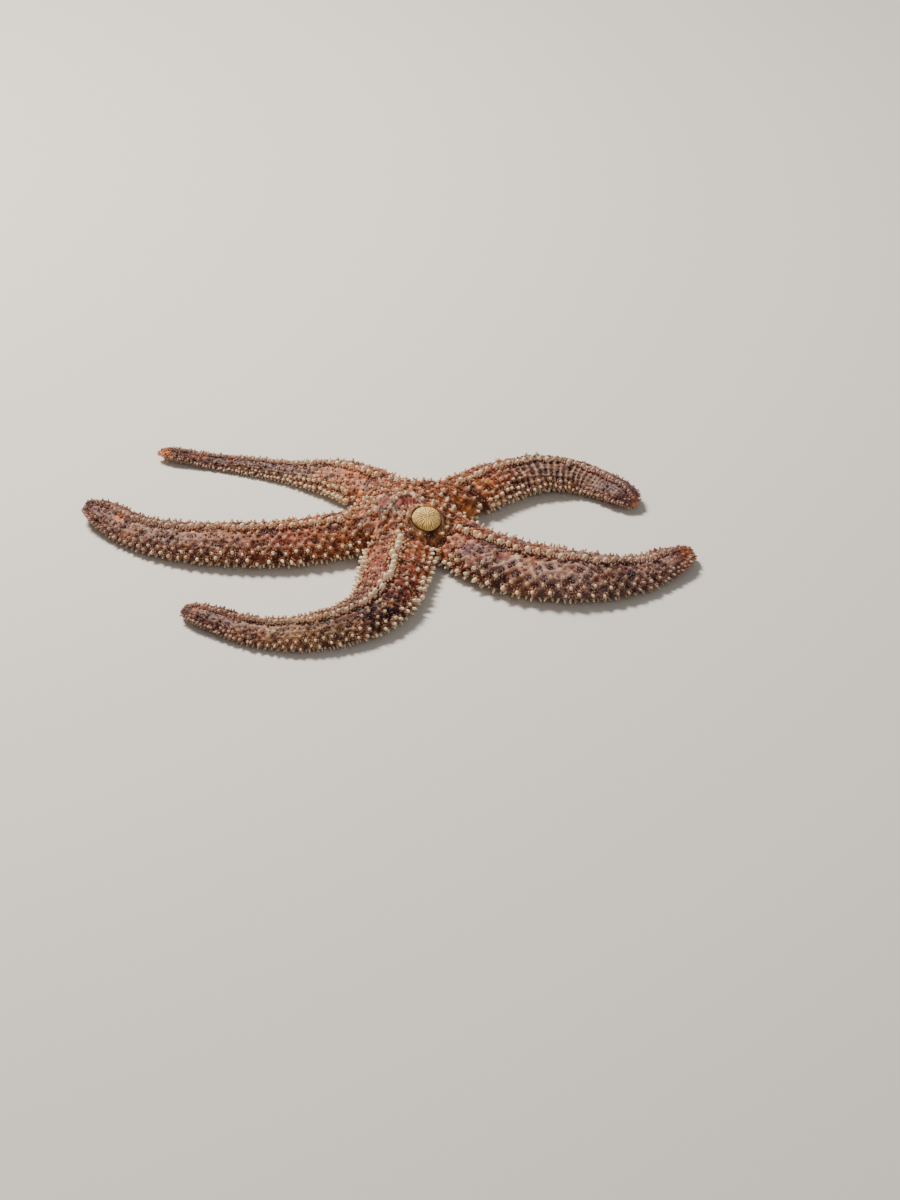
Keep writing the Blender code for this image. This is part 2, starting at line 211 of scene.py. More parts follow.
SKIN_STEP = 0.00078             # distance between rings along an arm
DISC_STEPS = 40                 # rings from the middle of the disc to an arm's root
END_LENGTH = 0.0024             # length of the finely ringed end of an arm
END_STEPS = 6
BACK_STEPS = 60                 # faces across the back
UNDER_STEPS = 40                # faces across the underside
SEAT_STATION = 16               # disc ring from which the underside runs straight to the mouth
SEAT_RINGS = 6
STANDARD_WIDTH = 0.0142         # half width of an arm on which everything is full size
SHEET_SIZE = 0.34               # length of the flat pattern's side, on the animal
STRIP_WIDTH = 0.106             # width given to one arm's strip on the flat pattern
STRIP_LENGTH = 0.165
STRIP_GAP = 0.004
SHEET_EDGE = 0.008              # clear edge beside the first strip
STRIP_SPLIT = 0.02              # clear share between the underside and the back
UNDER_STRIP = 0.40              # share of a strip for the underside
SAME_PLACE = 2e-7               # points nearer than this are joined

back_angle = np.linspace(0.0, math.pi, BACK_STEPS + 1)
under_share = np.linspace(-1.0, 1.0, UNDER_STEPS + 1)


def arm_stations(arm):
    """Shares of the arm's length at which its rings stand: even, and finer at the round end."""
    disc = np.arange(DISC_STEPS + 1) / DISC_STEPS * ROOT_DISTANCE / arm.length
    end = END_LENGTH / arm.length
    count = round((1.0 - end - disc[-1]) * arm.length / SKIN_STEP)
    body = np.linspace(disc[-1], 1.0 - end, count + 1)
    close = 1.0 - end * np.cos(np.linspace(0.0, math.pi / 2, END_STEPS + 1)) ** 2
    return np.concatenate([disc, body[1:], close[1:]])


def under_grid(index, stations):
    """Underside of one sector: seat of the mouth, its lip, straight lines out, then the rings."""
    rings = under_surface(index, stations[SEAT_STATION:], under_share)
    first = rings[0]
    lip = unit(first * [1.0, 1.0, 0.0]) * MOUTH_RADIUS
    lip[:, 2] = first[:, 2]
    share = (np.arange(SEAT_RINGS) / SEAT_RINGS)[:, None, None]
    fan = mix(lip[None], first[None], share)
    seat = lip * [1.0, 1.0, 0.0] + [0.0, 0.0, MOUTH_SEAT]
    pole = np.zeros_like(seat) + [0.0, 0.0, MOUTH_SEAT]
    return np.concatenate([pole[None], seat[None], fan, rings])


def strip(index, along, over):
    """Flat pattern of one arm: a strip, along by over, three strips in the first row and two in the next."""
    column, row = index % 3, index // 3
    u = (SHEET_EDGE + column * STRIP_WIDTH + over * (STRIP_WIDTH - STRIP_GAP)) / SHEET_SIZE
    v = (STRIP_GAP + row * STRIP_LENGTH + along) / SHEET_SIZE
    return np.stack(np.broadcast_arrays(u, v), -1)


Sector = namedtuple("Sector", "stations under_stations back under back_flat under_flat")


def make_sector(index):
    """One arm with its share of the disc: grids of the back and the underside, and their pattern."""
    arm = ARMS[index]
    stations = arm_stations(arm)
    back = back_surface(index, stations, back_angle) + DISC_CENTRE
    under = under_grid(index, stations) + DISC_CENTRE
    along = stations[:, None] * arm.length
    over = mix(UNDER_STRIP + STRIP_SPLIT, 1.0, back_angle / math.pi)[None, :]
    back_flat = strip(index, along, over)
    lip = MOUTH_RADIUS / arm.length
    inner = np.linspace(lip, stations[SEAT_STATION], SEAT_RINGS, endpoint=False)
    under_stations = np.concatenate([[0.0, 0.9 * lip], inner, stations[SEAT_STATION:]])
    over_under = (0.5 * (1.0 + under_share) * UNDER_STRIP)[None, :]
    under_flat = strip(index, under_stations[:, None] * arm.length, over_under)
    return Sector(stations, under_stations, back, under, back_flat, under_flat)


sectors = [make_sector(index) for index in range(len(ARMS))]


def grid_corners(rows, columns, first):
    """Corner numbers of the faces of a grid whose points are numbered row by row from first."""
    number = first + np.arange(rows * columns).reshape(rows, columns)
    loops = [number[:-1, :-1], number[1:, :-1], number[1:, 1:], number[:-1, 1:]]
    return np.stack(loops, -1).reshape(-1, 4)


def join_grids(grids, flips):
    """Grids joined where their points meet. Gives the points, the number of each grid point, and
    the faces as corners of grid points; a face with two equal corners becomes a triangle.
    """
    loose = np.concatenate([grid.reshape(-1, 3) for grid in grids])
    _, first, number = np.unique(np.round(loose / SAME_PLACE).astype(np.int64), axis=0,
                                 return_index=True, return_inverse=True)
    number = number.ravel()
    corners, start = [], 0
    for grid, flip in zip(grids, flips):
        faces = grid_corners(*grid.shape[:2], start)
        corners.append(faces[:, ::-1] if flip else faces)
        start += grid.shape[0] * grid.shape[1]
    corners = np.concatenate(corners)
    joined = number[corners]
    same = joined == np.roll(joined, -1, axis=1)
    quads = corners[~same.any(1)]
    keep = np.argsort(same[same.sum(1) == 1], axis=1, kind="stable")[:, :3]
    keep = np.sort(keep, axis=1)
    triangles = np.take_along_axis(corners[same.sum(1) == 1], keep, axis=1)
    return loose[first], number, first, [quads, triangles]


def fill_mesh(name, points, faces):
    """A mesh of points and of faces, given as arrays of three or four corners."""
    mesh = bpy.data.meshes.new(name)
    corners = np.concatenate([face.ravel() for face in faces])
    sizes = np.concatenate([np.full(len(face), face.shape[1]) for face in faces])
    starts = np.concatenate([[0], np.cumsum(sizes)[:-1]])
    mesh.vertices.add(len(points))
    mesh.loops.add(len(corners))
    mesh.polygons.add(len(sizes))
    mesh.vertices.foreach_set("co", np.asarray(points, dtype=np.float32).ravel())
    mesh.loops.foreach_set("vertex_index", corners.astype(np.int32))
    mesh.polygons.foreach_set("loop_start", starts.astype(np.int32))
    mesh.update(calc_edges=True)
    mesh.shade_smooth()
    return mesh


def point_normals(mesh):
    """The smooth normal at each point of a mesh."""
    normals = np.zeros(len(mesh.vertices) * 3)
    mesh.vertex_normals.foreach_get("vector", normals)
    return normals.reshape(-1, 3)


def move_points(mesh, points):
    """Put the points of a mesh in new places."""
    mesh.vertices.foreach_set("co", points.astype(np.float32).ravel())
    mesh.update()


def lay_flat(mesh, places, faces=None):
    """Give a mesh its flat pattern: a place for each corner, or for each point that faces name."""
    if faces is not None:
        places = np.concatenate([places[face].reshape(-1, 2) for face in faces])
    layer = mesh.uv_layers.new(name="OFBake")
    layer.data.foreach_set("uv", np.asarray(places, dtype=np.float32).ravel())


def mark(mesh, name, values):
    """Store one number for each point of a mesh, for its finish to read."""
    mesh.attributes.new(name, "FLOAT", "POINT").data.foreach_set(
        "value", np.asarray(values, dtype=np.float32).ravel())


def colour_points(mesh, colours):
    """Store the body's colour at each point of a mesh, for its finish to read."""
    values = np.concatenate([colours, np.ones((len(colours), 1))], axis=1)
    mesh.attributes.new("tint", "FLOAT_COLOR", "POINT").data.foreach_set(
        "color", values.astype(np.float32).ravel())


def add_object(name, data):
    """A new object of the scene."""
    new = bpy.data.objects.new(name, data)
    bpy.context.scene.collection.objects.link(new)
    return new


def place_piece(mesh, finish, slot, *nodes):
    """Put a finished mesh in the scene: it rides on the body, and may stand for solid nodes."""
    piece = add_object(mesh.name, mesh)
    mesh.materials.append(finish)
    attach(piece, "root")
    if nodes:
        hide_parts(*nodes)


def sample(grid, rows, columns):
    """Values of a grid between its points: the four corners of a cell, weighted by nearness."""
    low_row = np.clip(np.floor(rows).astype(int), 0, grid.shape[0] - 2)
    low_column = np.clip(np.floor(columns).astype(int), 0, grid.shape[1] - 2)
    down, right = rows - low_row, columns - low_column
    if grid.ndim == 3:
        down, right = down[:, None], right[:, None]
    near = mix(grid[low_row, low_column], grid[low_row + 1, low_column], down)
    far = mix(grid[low_row, low_column + 1], grid[low_row + 1, low_column + 1], down)
    return mix(near, far, right)


PLATE_SPACING = 0.28            # distance between plates along a row, in half widths
PLATE_START = 0.92              # where the rows start, as a share of the root's distance
PLATE_END = 0.985               # where they end, as a share of the arm
ROW_UNEVENNESS, ANGLE_UNEVENNESS = 0.0022, 2.4   # as a share of the arm, and in degrees
MARGIN_ROW = 9                  # rows from here on stand along the margins
RIBBED_ARM = 4                  # the arm with ribs, by its place in the list
DISC_REACH = 1.6                # root distances out to which the plates of every arm count
BOSS_RADIUS, BAR_WIDTH = 0.00105, 0.00030
BAR_REACH, BAR_FADE = 0.0046, 0.0014     # distance of two plates from which a bar fades, and over what
BAR_LEVEL = 0.62                # height of a bar, between 0 in a pit and 1 on a boss
BATCH = 4000
ROW_ANGLES = (90.0, 74.0, 106.0, 58.0, 122.0, 42.0, 138.0, 26.0, 154.0, 9.0, 171.0)
ROW_PHASE = (0.0, 0.5, 0.5, 0.0, 0.0, 0.5, 0.5, 0.0, 0.0, 0.5, 0.5)
DISC_SPACING = 0.0031           # least distance between plates on the disc
CLEAR_OF_SIEVE = 0.0012         # bare ring round the madreporite
MADREPORITE_RADIUS = 0.0060
MADREPORITE_DISTANCE = 0.0205
random = np.random.default_rng(7)


def rows_along(arm, start, end, spacing):
    """Rows a set number of half widths apart: shares of an arm, and the count of rows up to each."""
    fine = np.linspace(start, end, 600)
    width = half_width(arm, np.maximum(fine, ROOT_DISTANCE / arm.length))
    width = np.maximum(width, 0.5 * arm.tip_half)
    return fine, np.concatenate([[0.0], np.cumsum(np.diff(fine) * arm.length / (spacing * width[1:]))])


def spaced_along(arm, start, end, spacing, phase):
    """Shares of an arm at which things stand, each a set number of half widths from the next."""
    fine, count = rows_along(arm, start, end, spacing)
    return np.interp(np.arange(phase, count[-1], 1.0), count, fine)


Plates = namedtuple("Plates", "arm s angle row")


def gather(groups):
    """Groups of arrays joined end to end: all the first arrays, all the second, and so on."""
    return [np.concatenate(values) for values in zip(*groups)]


def arm_plates(index):
    """Plates of one arm: eleven rows over the back, every other row half a space further along."""
    arm = ARMS[index]
    start = PLATE_START * ROOT_DISTANCE / arm.length
    groups = []
    for number, (degrees, phase) in enumerate(zip(ROW_ANGLES, ROW_PHASE)):
        phase = 0.0 if index == RIBBED_ARM else phase
        places = spaced_along(arm, start, PLATE_END, PLATE_SPACING, phase)
        places = places + random.normal(0.0, ROW_UNEVENNESS, len(places))
        angle = np.radians(degrees + random.normal(0.0, ANGLE_UNEVENNESS, len(places)))
        groups.append((np.clip(places, start, 0.99), angle, np.full(len(places), number)))
    s, angle, row = gather(groups)
    return Plates(np.full(len(s), index), s, angle.clip(0.04, math.pi - 0.04), row)


def back_cell(index, s, angle):
    """Row and column of places on a sector's back grid."""
    stations = sectors[index].stations
    return np.interp(s, stations, np.arange(len(stations))), angle / math.pi * BACK_STEPS


def madreporite_spot():
    """Middle and slope of the madreporite's seat, on the line between arms 3 and 4."""
    x, y, _, _ = notch(2)
    reach = math.hypot(x, y)
    root = ROOT_DISTANCE / ARMS[2].length
    distances = MADREPORITE_DISTANCE + np.array([-0.003, 0.0, 0.003])
    _, _, top, _ = side_edge(2, 1, distances / reach * NOTCH_STATION * root)
    slope = (top[2] - top[0]) / (distances[2] - distances[0])
    outward = np.array([x / reach, y / reach, 0.0])
    normal = unit(np.array([0.0, 0.0, 1.0]) - outward * slope)
    return outward * MADREPORITE_DISTANCE + [0.0, 0.0, top[1]] + DISC_CENTRE, normal


def disc_plates(taken):
    """Plates of the disc: places tried in a shuffled order, kept if clear of those already there."""
    arm, s, angle, points = [], [], [], [p for p in taken]
    seat, _ = madreporite_spot()
    tries = [(i, row, column) for i in range(5) for row in range(0, 37) for column in range(1, 60, 2)]
    for i, row, column in [tries[k] for k in random.permutation(len(tries))]:
        point = sectors[i].back[row, column]
        if np.linalg.norm(point - seat) < MADREPORITE_RADIUS + CLEAR_OF_SIEVE:
            continue
        if np.linalg.norm(np.array(points) - point, axis=1).min() > DISC_SPACING:
            points.append(point)
            arm.append(i)
            s.append(sectors[i].stations[row])
            angle.append(back_angle[column])
    return Plates(np.array(arm), np.array(s), np.array(angle), np.full(len(arm), -1))


def on_back(plates, grids):
    """Values of the back grids at the plates."""
    values = np.zeros((len(plates.s),) + grids[0].shape[2:])
    for index in range(len(ARMS)):
        here = plates.arm == index
        rows, columns = back_cell(index, plates.s[here], plates.angle[here])
        values[here] = sample(grids[index], rows, columns)
    return values


plates = Plates(*gather([arm_plates(index) for index in range(len(ARMS))]))
back_grids = [sector.back for sector in sectors]
plates = Plates(*gather([plates, disc_plates(on_back(plates, back_grids))]))
plate_points = on_back(plates, back_grids)


def local_width(arm_number, s):
    """Half width at each place, never less than at the arm's root inside the disc."""
    width = np.zeros(len(s))
    for index, arm in enumerate(ARMS):
        here = arm_number == index
        inside = np.clip(s[here], ROOT_DISTANCE / arm.length, 0.975)
        width[here] = half_width(arm, inside)
    return width


grids = [grid for sector in sectors for grid in (sector.back, sector.under)]
skin_points, skin_number, skin_first, skin_faces = join_grids(grids, [True] * len(grids))


def per_point(values):
    """Values given for each grid, as one list for the joined points."""
    return np.concatenate([np.asarray(v, dtype=float).reshape(-1) for v in values])[skin_first]


point_arm = per_point([np.full(g.shape[:2], k // 2) for k, g in enumerate(grids)]).astype(int)
point_under = per_point([np.full(g.shape[:2], k % 2) for k, g in enumerate(grids)])
point_share = per_point([np.abs(np.full(g.shape[:2], under_share if k % 2 else np.cos(back_angle)))
                         for k, g in enumerate(grids)])
point_s = per_point([np.repeat(stations[:, None], grid.shape[1], axis=1) for sector in sectors
                     for stations, grid in ((sector.stations, sector.back),
                                            (sector.under_stations, sector.under))])
point_width = local_width(point_arm, point_s)


def two_nearest(points, others):
    """Distances from each point to the two nearest others, and their numbers, in batches."""
    distance, number = np.zeros((len(points), 2)), np.zeros((len(points), 2), dtype=int)
    for start in range(0, len(points), BATCH):
        batch = points[start:start + BATCH]
        gap = np.linalg.norm(batch[:, None, :] - others[None, :, :], axis=2)
        near = np.argpartition(gap, 2, axis=1)[:, :2]
        value = np.take_along_axis(gap, near, axis=1)
        order = np.argsort(value, axis=1)
        number[start:start + BATCH] = np.take_along_axis(near, order, axis=1)
        distance[start:start + BATCH] = np.take_along_axis(value, order, axis=1)
    return distance, number


def plate_relief(points, arm_number, width):
    """Bosses and bars: a bell over the nearest plate, and a bar where the two nearest plates'
    distances add up to little more than their own distance apart. 0 in a pit, 1 on a boss.
    """
    relief = np.zeros(len(points))
    size = width / STANDARD_WIDTH
    for index in range(len(ARMS)):
        here = np.flatnonzero(arm_number == index)
        near = (plates.arm == index) | (plates.s < DISC_REACH * ROOT_DISTANCE / ARMS[0].length)
        others = plate_points[near]
        distance, number = two_nearest(points[here], others)
        apart = np.linalg.norm(others[number[:, 0]] - others[number[:, 1]], axis=1)
        boss = np.exp(-(distance[:, 0] / (BOSS_RADIUS * size[here])) ** 2)
        detour = distance.sum(1) - apart
        bar = BAR_LEVEL * np.exp(-detour / (BAR_WIDTH * size[here]))
        bar *= 1.0 - ease((apart / size[here] - BAR_REACH) / BAR_FADE)
        relief[here] = np.maximum(boss, bar)
    return relief


def ribs(arm_number, s):
    """Ribs across the outer half of arm 5, one over each cross row of its plates: a cosine of the
    count of rows. 1 on a rib, 0 between. Also how far they are developed.
    """
    arm = ARMS[RIBBED_ARM]
    fine, count = rows_along(arm, PLATE_START * ROOT_DISTANCE / arm.length, PLATE_END, PLATE_SPACING)
    wave = 0.5 + 0.5 * np.cos(2.0 * math.pi * np.interp(s, fine, count))
    return wave, ease((s - 0.40) / 0.16) * ease((0.99 - s) / 0.12) * (arm_number == RIBBED_ARM)


def waves(points, length, seed, count=14):
    """Smooth uneven noise: sine waves of about one length in random directions, added up."""
    draw = np.random.default_rng(seed)
    direction = unit(draw.normal(size=(count, 3)))
    rate = 2.0 * math.pi / length * draw.uniform(0.7, 1.4, count)
    phase = draw.uniform(0.0, 2.0 * math.pi, count)
    return np.sin(points @ (direction * rate[:, None]).T + phase).sum(1) / math.sqrt(count)


RUST, RED = (0.37, 0.095, 0.024), (0.25, 0.038, 0.018)
# The sand colour is painted light: it stands for a pale wash of light over the middle of arm 3, the only
# place it is used.
PINK, PAINTED_LIGHT_SAND = (0.31, 0.115, 0.062), (0.34, 0.175, 0.080)
MAUVE, GREY_MAUVE = (0.18, 0.066, 0.050), (0.21, 0.105, 0.078)
MAROON, PURPLE = (0.085, 0.022, 0.021), (0.070, 0.018, 0.045)
ORANGE, LILAC = (0.66, 0.180, 0.025), (0.37, 0.210, 0.165)
BLOOD, PALE = (0.150, 0.012, 0.010), (0.70, 0.480, 0.340)
GOLD = (0.50, 0.230, 0.070)
GOLD_REACH = 0.0032             # width of the golden ring round the madreporite
TINTS = (
    ((0.20, RUST), (0.38, PINK), (0.50, MAUVE), (0.60, MAROON), (0.93, MAROON), (0.975, ORANGE)),
    ((0.26, RUST), (0.40, RED), (0.52, PINK), (0.75, GREY_MAUVE), (0.90, MAUVE), (0.97, MAROON)),
    # Arm 3: its sand stop at 0.68 is painted light, a pale wash of light over the arm's middle.
    ((0.18, RUST), (0.32, RED), (0.50, MAROON), (0.68, PAINTED_LIGHT_SAND), (0.84, MAUVE), (0.92, MAROON)),
    ((0.18, RUST), (0.28, RED), (0.38, MAROON), (0.48, PINK), (0.58, LILAC), (0.72, GREY_MAUVE),
     (0.84, LILAC), (0.92, MAUVE), (0.98, RUST)),
    ((0.26, RUST), (0.40, RED), (0.54, MAROON), (0.80, MAUVE), (0.90, PURPLE), (0.97, MAROON)),
)
Mark = namedtuple("Mark", "index s angle radius colour share rim")
MARKS = (
    Mark(1, 0.850, 78, 0.0068, LILAC, 0.50, 0.0),
    Mark(1, 0.845, 74, 0.0027, ORANGE, 1.00, 0.0),
    Mark(1, 0.082, 84, 0.0036, BLOOD, 0.95, 0.8),
    Mark(2, 0.058, 96, 0.0046, BLOOD, 1.00, 0.9),
    Mark(0, 0.190, 70, 0.0030, BLOOD, 0.80, 0.5),
    Mark(0, 0.205, 34, 0.0040, ORANGE, 0.85, 0.0),
    Mark(4, 0.215, 144, 0.0042, ORANGE, 0.65, 0.0),
    Mark(3, 0.300, 122, 0.0034, PURPLE, 0.80, 0.3),
    Mark(3, 0.400, 112, 0.0036, BLOOD, 0.80, 0.3),
    Mark(3, 0.540, 118, 0.0070, LILAC, 0.80, 0.0),
    Mark(3, 0.840, 112, 0.0024, PURPLE, 1.00, 0.0),
    Mark(3, 0.905, 96, 0.0022, PURPLE, 1.00, 0.0),
    Mark(3, 0.740, 122, 0.0024, PURPLE, 0.80, 0.0),
    Mark(0, 0.300, 80, 0.0045, ORANGE, 0.60, 0.0),
    Mark(4, 0.300, 120, 0.0045, ORANGE, 0.55, 0.0),
    Mark(4, 0.950, 80, 0.0040, PURPLE, 0.70, 0.0),
)


def body_tint(points, arm_number, s):
    """Colour of the body: stops along each arm, shifted unevenly, with dark and pale blotches. The sand stop
    on arm 3 is painted light, a pale wash of light over its middle. Then round soft-edged marks, some with a
    pale rim, a golden ring round the madreporite and pale ribs with darker gaps on arm 5, the gaps partly
    their own dark skin and partly painted shade. Also how far a rimmed mark, which is bare skin, covers it.
    """
    covered = np.zeros(len(points))
    tint = np.zeros((len(points), 3))
    shifted = s + 0.025 * ease((s - 0.25) / 0.1) * waves(points, 0.016, 11)
    for index, stops in enumerate(TINTS):
        here = arm_number == index
        places = [stop[0] for stop in stops]
        for channel in range(3):
            tint[here, channel] = np.interp(shifted[here], places, [stop[1][channel] for stop in stops])
    blotch = waves(points, 0.012, 13)
    tint = mix(tint, np.array(MAROON), 0.60 * ease((blotch - 0.35) / 0.7)[:, None])
    tint = mix(tint, np.array(PINK) * 1.3, 0.55 * ease((-0.45 - blotch) / 0.7)[:, None])
    for spot in MARKS:
        middle = back_surface(spot.index, np.array([spot.s]), np.radians([spot.angle]))[0, 0]
        gap = np.linalg.norm(points - middle - DISC_CENTRE, axis=1)
        rim = spot.rim * np.exp(-((gap / spot.radius - 1.35) / 0.28) ** 2)
        tint = mix(tint, np.array(PALE), rim[:, None])
        share = spot.share * np.exp(-(gap / spot.radius) ** 6)
        tint = mix(tint, np.array(spot.colour), share[:, None])
        covered = np.maximum(covered, share * (spot.rim > 0.0))
    ring = np.linalg.norm(points - madreporite_spot()[0], axis=1) / (MADREPORITE_RADIUS + GOLD_REACH)
    tint = mix(tint, np.array(GOLD), 0.9 * np.exp(-ring ** 8)[:, None])
    rib, developed = ribs(arm_number, s + 0.004 * waves(points, 0.009, 14))
    developed = developed * (0.75 + 0.35 * waves(points, 0.010, 15)).clip(0.2, 1.0)
    # Pale ribs, and the gaps between them darkened: partly their own dark skin, partly painted shade in the
    # grooves between the ribs.
    tint = mix(tint, np.array(PALE), (0.50 * rib ** 2 * developed)[:, None])
    tint = tint * (1.0 - 0.40 * (1.0 - rib) * developed)[:, None]
    return tint * (1.0 + 0.16 * waves(points, 0.0075, 12))[:, None].clip(0.5, 1.6), covered


UNDER_ROWS = (0.53, 0.15)       # first row of plates under an arm, and the step between rows
UNDER_SPACING = 0.24            # distance between plates along a row, in half widths
UNDER_START = (0.016, 0.004)    # where they begin, from the middle of the disc, and over what length


def under_relief(arm_number, s, share, under):
    """Plates of the underside: low domes in a grid, along the arm by rows across it."""
    dome = np.zeros(len(s))
    for index, arm in enumerate(ARMS):
        here = (arm_number == index) & (under > 0.5)
        fine, count = rows_along(arm, 0.0, 1.0, UNDER_SPACING)
        along = np.cos(2.0 * math.pi * np.interp(s[here], fine, count))
        rows = np.cos(2.0 * math.pi * (share[here] - UNDER_ROWS[0]) / UNDER_ROWS[1])
        inside = ease((share[here] - 0.42) / 0.05)
        inside = inside * ease((s[here] * arm.length - UNDER_START[0]) / UNDER_START[1])
        dome[here] = (0.5 + 0.5 * along) * (0.5 + 0.5 * rows) * inside
    return dome


BOSS_HEIGHT = 0.00062
PIT_DEPTH = 0.00042
SKIN_INSET = 0.00030            # how far the skin's middle level lies inside the solids
UNDER_DEPTH = 0.45              # depth of the relief on the underside, as a share of the back's
SWELL_HEIGHT, SWELL_LENGTH = 0.00016, 0.0046
GRAIN_HEIGHT, GRAIN_LENGTH = 0.00010, 0.0021
CREASE_SHARE = 0.8              # how much of its relief the skin loses in the creases
SEAT_SINK = 0.0004
SEAT_MARGIN, SEAT_FADE = 0.0004, 0.0026  # the level seat round the madreporite, and where it ends
COLLAR = 0.0016                 # height of the fold of skin round the madreporite
COLLAR_OUT, COLLAR_WIDTH = 0.0011, 0.0010
LOWEST_SKIN = 0.0003

relief = plate_relief(skin_points, point_arm, point_width)
rib, developed = ribs(point_arm, point_s)
relief = np.maximum(relief, BAR_LEVEL * rib ** 2 * developed)
relief = relief * (1.0 - point_under) + under_relief(point_arm, point_s, point_share, point_under)
skin_mesh = fill_mesh("skin", skin_points, [skin_number[face] for face in skin_faces])
normals = point_normals(skin_mesh)
scale = point_width / STANDARD_WIDTH
push = mix(-PIT_DEPTH, BOSS_HEIGHT, relief) * scale * np.where(point_under > 0.5, UNDER_DEPTH, 1.0)
push += UNDER_DEPTH * PIT_DEPTH * scale * point_under
swell = SWELL_HEIGHT * scale * waves(skin_points, SWELL_LENGTH, 1)
push += swell + GRAIN_HEIGHT * scale * waves(skin_points, GRAIN_LENGTH, 2)
lengths = np.array([arm.length for arm in ARMS])
from_root = point_s * lengths[point_arm] / ROOT_DISTANCE
crease = ease((point_share - 0.80) / 0.20) * (1.0 - ease((from_root - 0.85) / 0.15))
push *= 1.0 - CREASE_SHARE * crease      # the two walls of the crease between arms must not cross
push -= SKIN_INSET * scale
seat_middle, seat_normal = madreporite_spot()


def from_seat(points):
    """Height of points over the level of the madreporite's seat, and distance from its axis."""
    gap = points - seat_middle
    height = gap @ seat_normal
    return height, np.linalg.norm(gap - height[:, None] * seat_normal, axis=1)


_, seat_distance = from_seat(skin_points)
skin_points = skin_points + normals * push[:, None]
seat_height, _ = from_seat(skin_points)
level = 1.0 - ease((seat_distance - MADREPORITE_RADIUS - SEAT_MARGIN) / SEAT_FADE)
level = np.where(point_under > 0.5, 0.0, level)
skin_points -= (level * (seat_height + SEAT_SINK + SEAT_MARGIN))[:, None] * seat_normal
collar = COLLAR * np.exp(-((seat_distance - MADREPORITE_RADIUS - COLLAR_OUT) / COLLAR_WIDTH) ** 2)
skin_points += (collar * (1.0 - point_under) * (1.0 - crease))[:, None] * seat_normal
skin_points[:, 2] = np.maximum(skin_points[:, 2], LOWEST_SKIN)
move_points(skin_mesh, skin_points)
flat = np.concatenate([pattern.reshape(-1, 2) for sector in sectors
                       for pattern in (sector.back_flat, sector.under_flat)])
lay_flat(skin_mesh, flat, skin_faces)
skin_tint, skin_marked = body_tint(skin_points, point_arm, point_s)
colour_points(skin_mesh, skin_tint)
mark(skin_mesh, "along", point_s)
mark(skin_mesh, "relief", relief)
mark(skin_mesh, "bare", skin_marked)
in_disc = 1.0 - ease((from_root - 0.70) / 0.25)
mark(skin_mesh, "under", point_under * np.maximum(ease((1.0 - point_share) / 0.28), in_disc))
mark(skin_mesh, "across", np.where(point_under > 0.5, point_share, 1.0))


class Finish:
    """A material built up node by node: each method adds one node and returns its output."""

    def __init__(self, name, constants):
        """A new material, with plain values for some inputs of its shader."""
        self.material = bpy.data.materials.new(name)
        self.material.use_nodes = True
        self.tree = self.material.node_tree
        self.shader = self.tree.nodes["Principled BSDF"]
        for socket, value in constants.items():
            self.shader.inputs[socket].default_value = value

    def feed(self, node, socket, value):
        """Give one input of a node a value, or the output of another node."""
        if isinstance(value, bpy.types.NodeSocket):
            self.tree.links.new(value, node.inputs[socket])
        else:
            node.inputs[socket].default_value = value

    def add(self, kind, inputs, **settings):
        """A node of a kind, with settings, and inputs that are values or other nodes' outputs."""
        node = self.tree.nodes.new("ShaderNode" + kind)
        for name, value in settings.items():
            setattr(node, name, value)
        for socket, value in inputs.items():
            self.feed(node, socket, value)
        return node

    def mark(self, name):
        """The number stored under a name at each point."""
        return self.add("Attribute", {}, attribute_name=name).outputs["Fac"]

    def tint(self, factor=(1.0, 1.0, 1.0)):
        """The body's colour, times a factor."""
        colour = self.add("Attribute", {}, attribute_name="tint").outputs["Color"]
        return self.blend(1.0, colour, factor, "MULTIPLY")

    def place(self):
        """Where a point lies in the object."""
        return self.add("TexCoord", {}).outputs["Object"]

    def noise(self, scale, detail=3.0, distortion=0.0):
        """Smooth cloudy noise, about 0.3 to 0.7, with scale clouds to the metre."""
        inputs = {"Vector": self.place(), "Scale": scale, "Detail": detail, "Distortion": distortion}
        return self.add("TexNoise", inputs).outputs["Fac"]

    def cells(self, scale):
        """Distance to the nearest of scattered points, scale of them to the metre."""
        return self.add("TexVoronoi", {"Vector": self.place(), "Scale": scale}).outputs["Distance"]

    def maths(self, operation, a, b=0.0, c=0.0):
        """One operation on up to three values."""
        return self.add("Math", {0: a, 1: b, 2: c}, operation=operation).outputs[0]

    def steps(self, factor, low, high):
        """The factor stretched so that low becomes 0 and high becomes 1."""
        inputs = {"Value": factor, "From Min": low, "From Max": high}
        return self.add("MapRange", inputs).outputs["Result"]

    def blend(self, factor, a, b, way="MIX"):
        """Colour b laid over colour a by the factor."""
        node = self.add("Mix", {0: factor}, data_type="RGBA", blend_type=way)
        for socket, value in ((6, a), (7, b)):
            self.feed(node, socket, (*value, 1.0) if isinstance(value, tuple) else value)
        return node.outputs[2]

    def bump(self, height, distance, strength=1.0, under=None):
        """Bumps as deep as the distance where the height is 1, on top of other bumps if any."""
        inputs = {"Height": height, "Distance": distance, "Strength": strength}
        if under is not None:
            inputs["Normal"] = under
        return self.add("Bump", inputs).outputs["Normal"]

    def set(self, socket, output):
        """Let an output drive one input of the shader."""
        self.tree.links.new(output, self.shader.inputs[socket])

    def surface(self, colour, rough, grain):
        """The finished material. rough: scale and detail of its noise, and the levels stretched
        to 0 and 1. grain: scale, detail and depth of fine bumps, or the output of a bump.
        """
        self.set("Base Color", colour)
        self.set("Roughness", self.steps(self.noise(*rough[:2]), *rough[2:]))
        is_output = isinstance(grain, bpy.types.NodeSocket)
        self.set("Normal", grain if is_output else self.bump(self.noise(*grain[:2]), grain[2]))
        return self.material


def damp_finish(name, coat, gloss, glow, glow_depth):
    """A wet surface: weight and roughness of its wet coat, weight and depth of the light let in."""
    return Finish(name, {"Coat Weight": coat, "Coat Roughness": gloss, "Subsurface Weight": glow,
                         "Subsurface Scale": glow_depth})


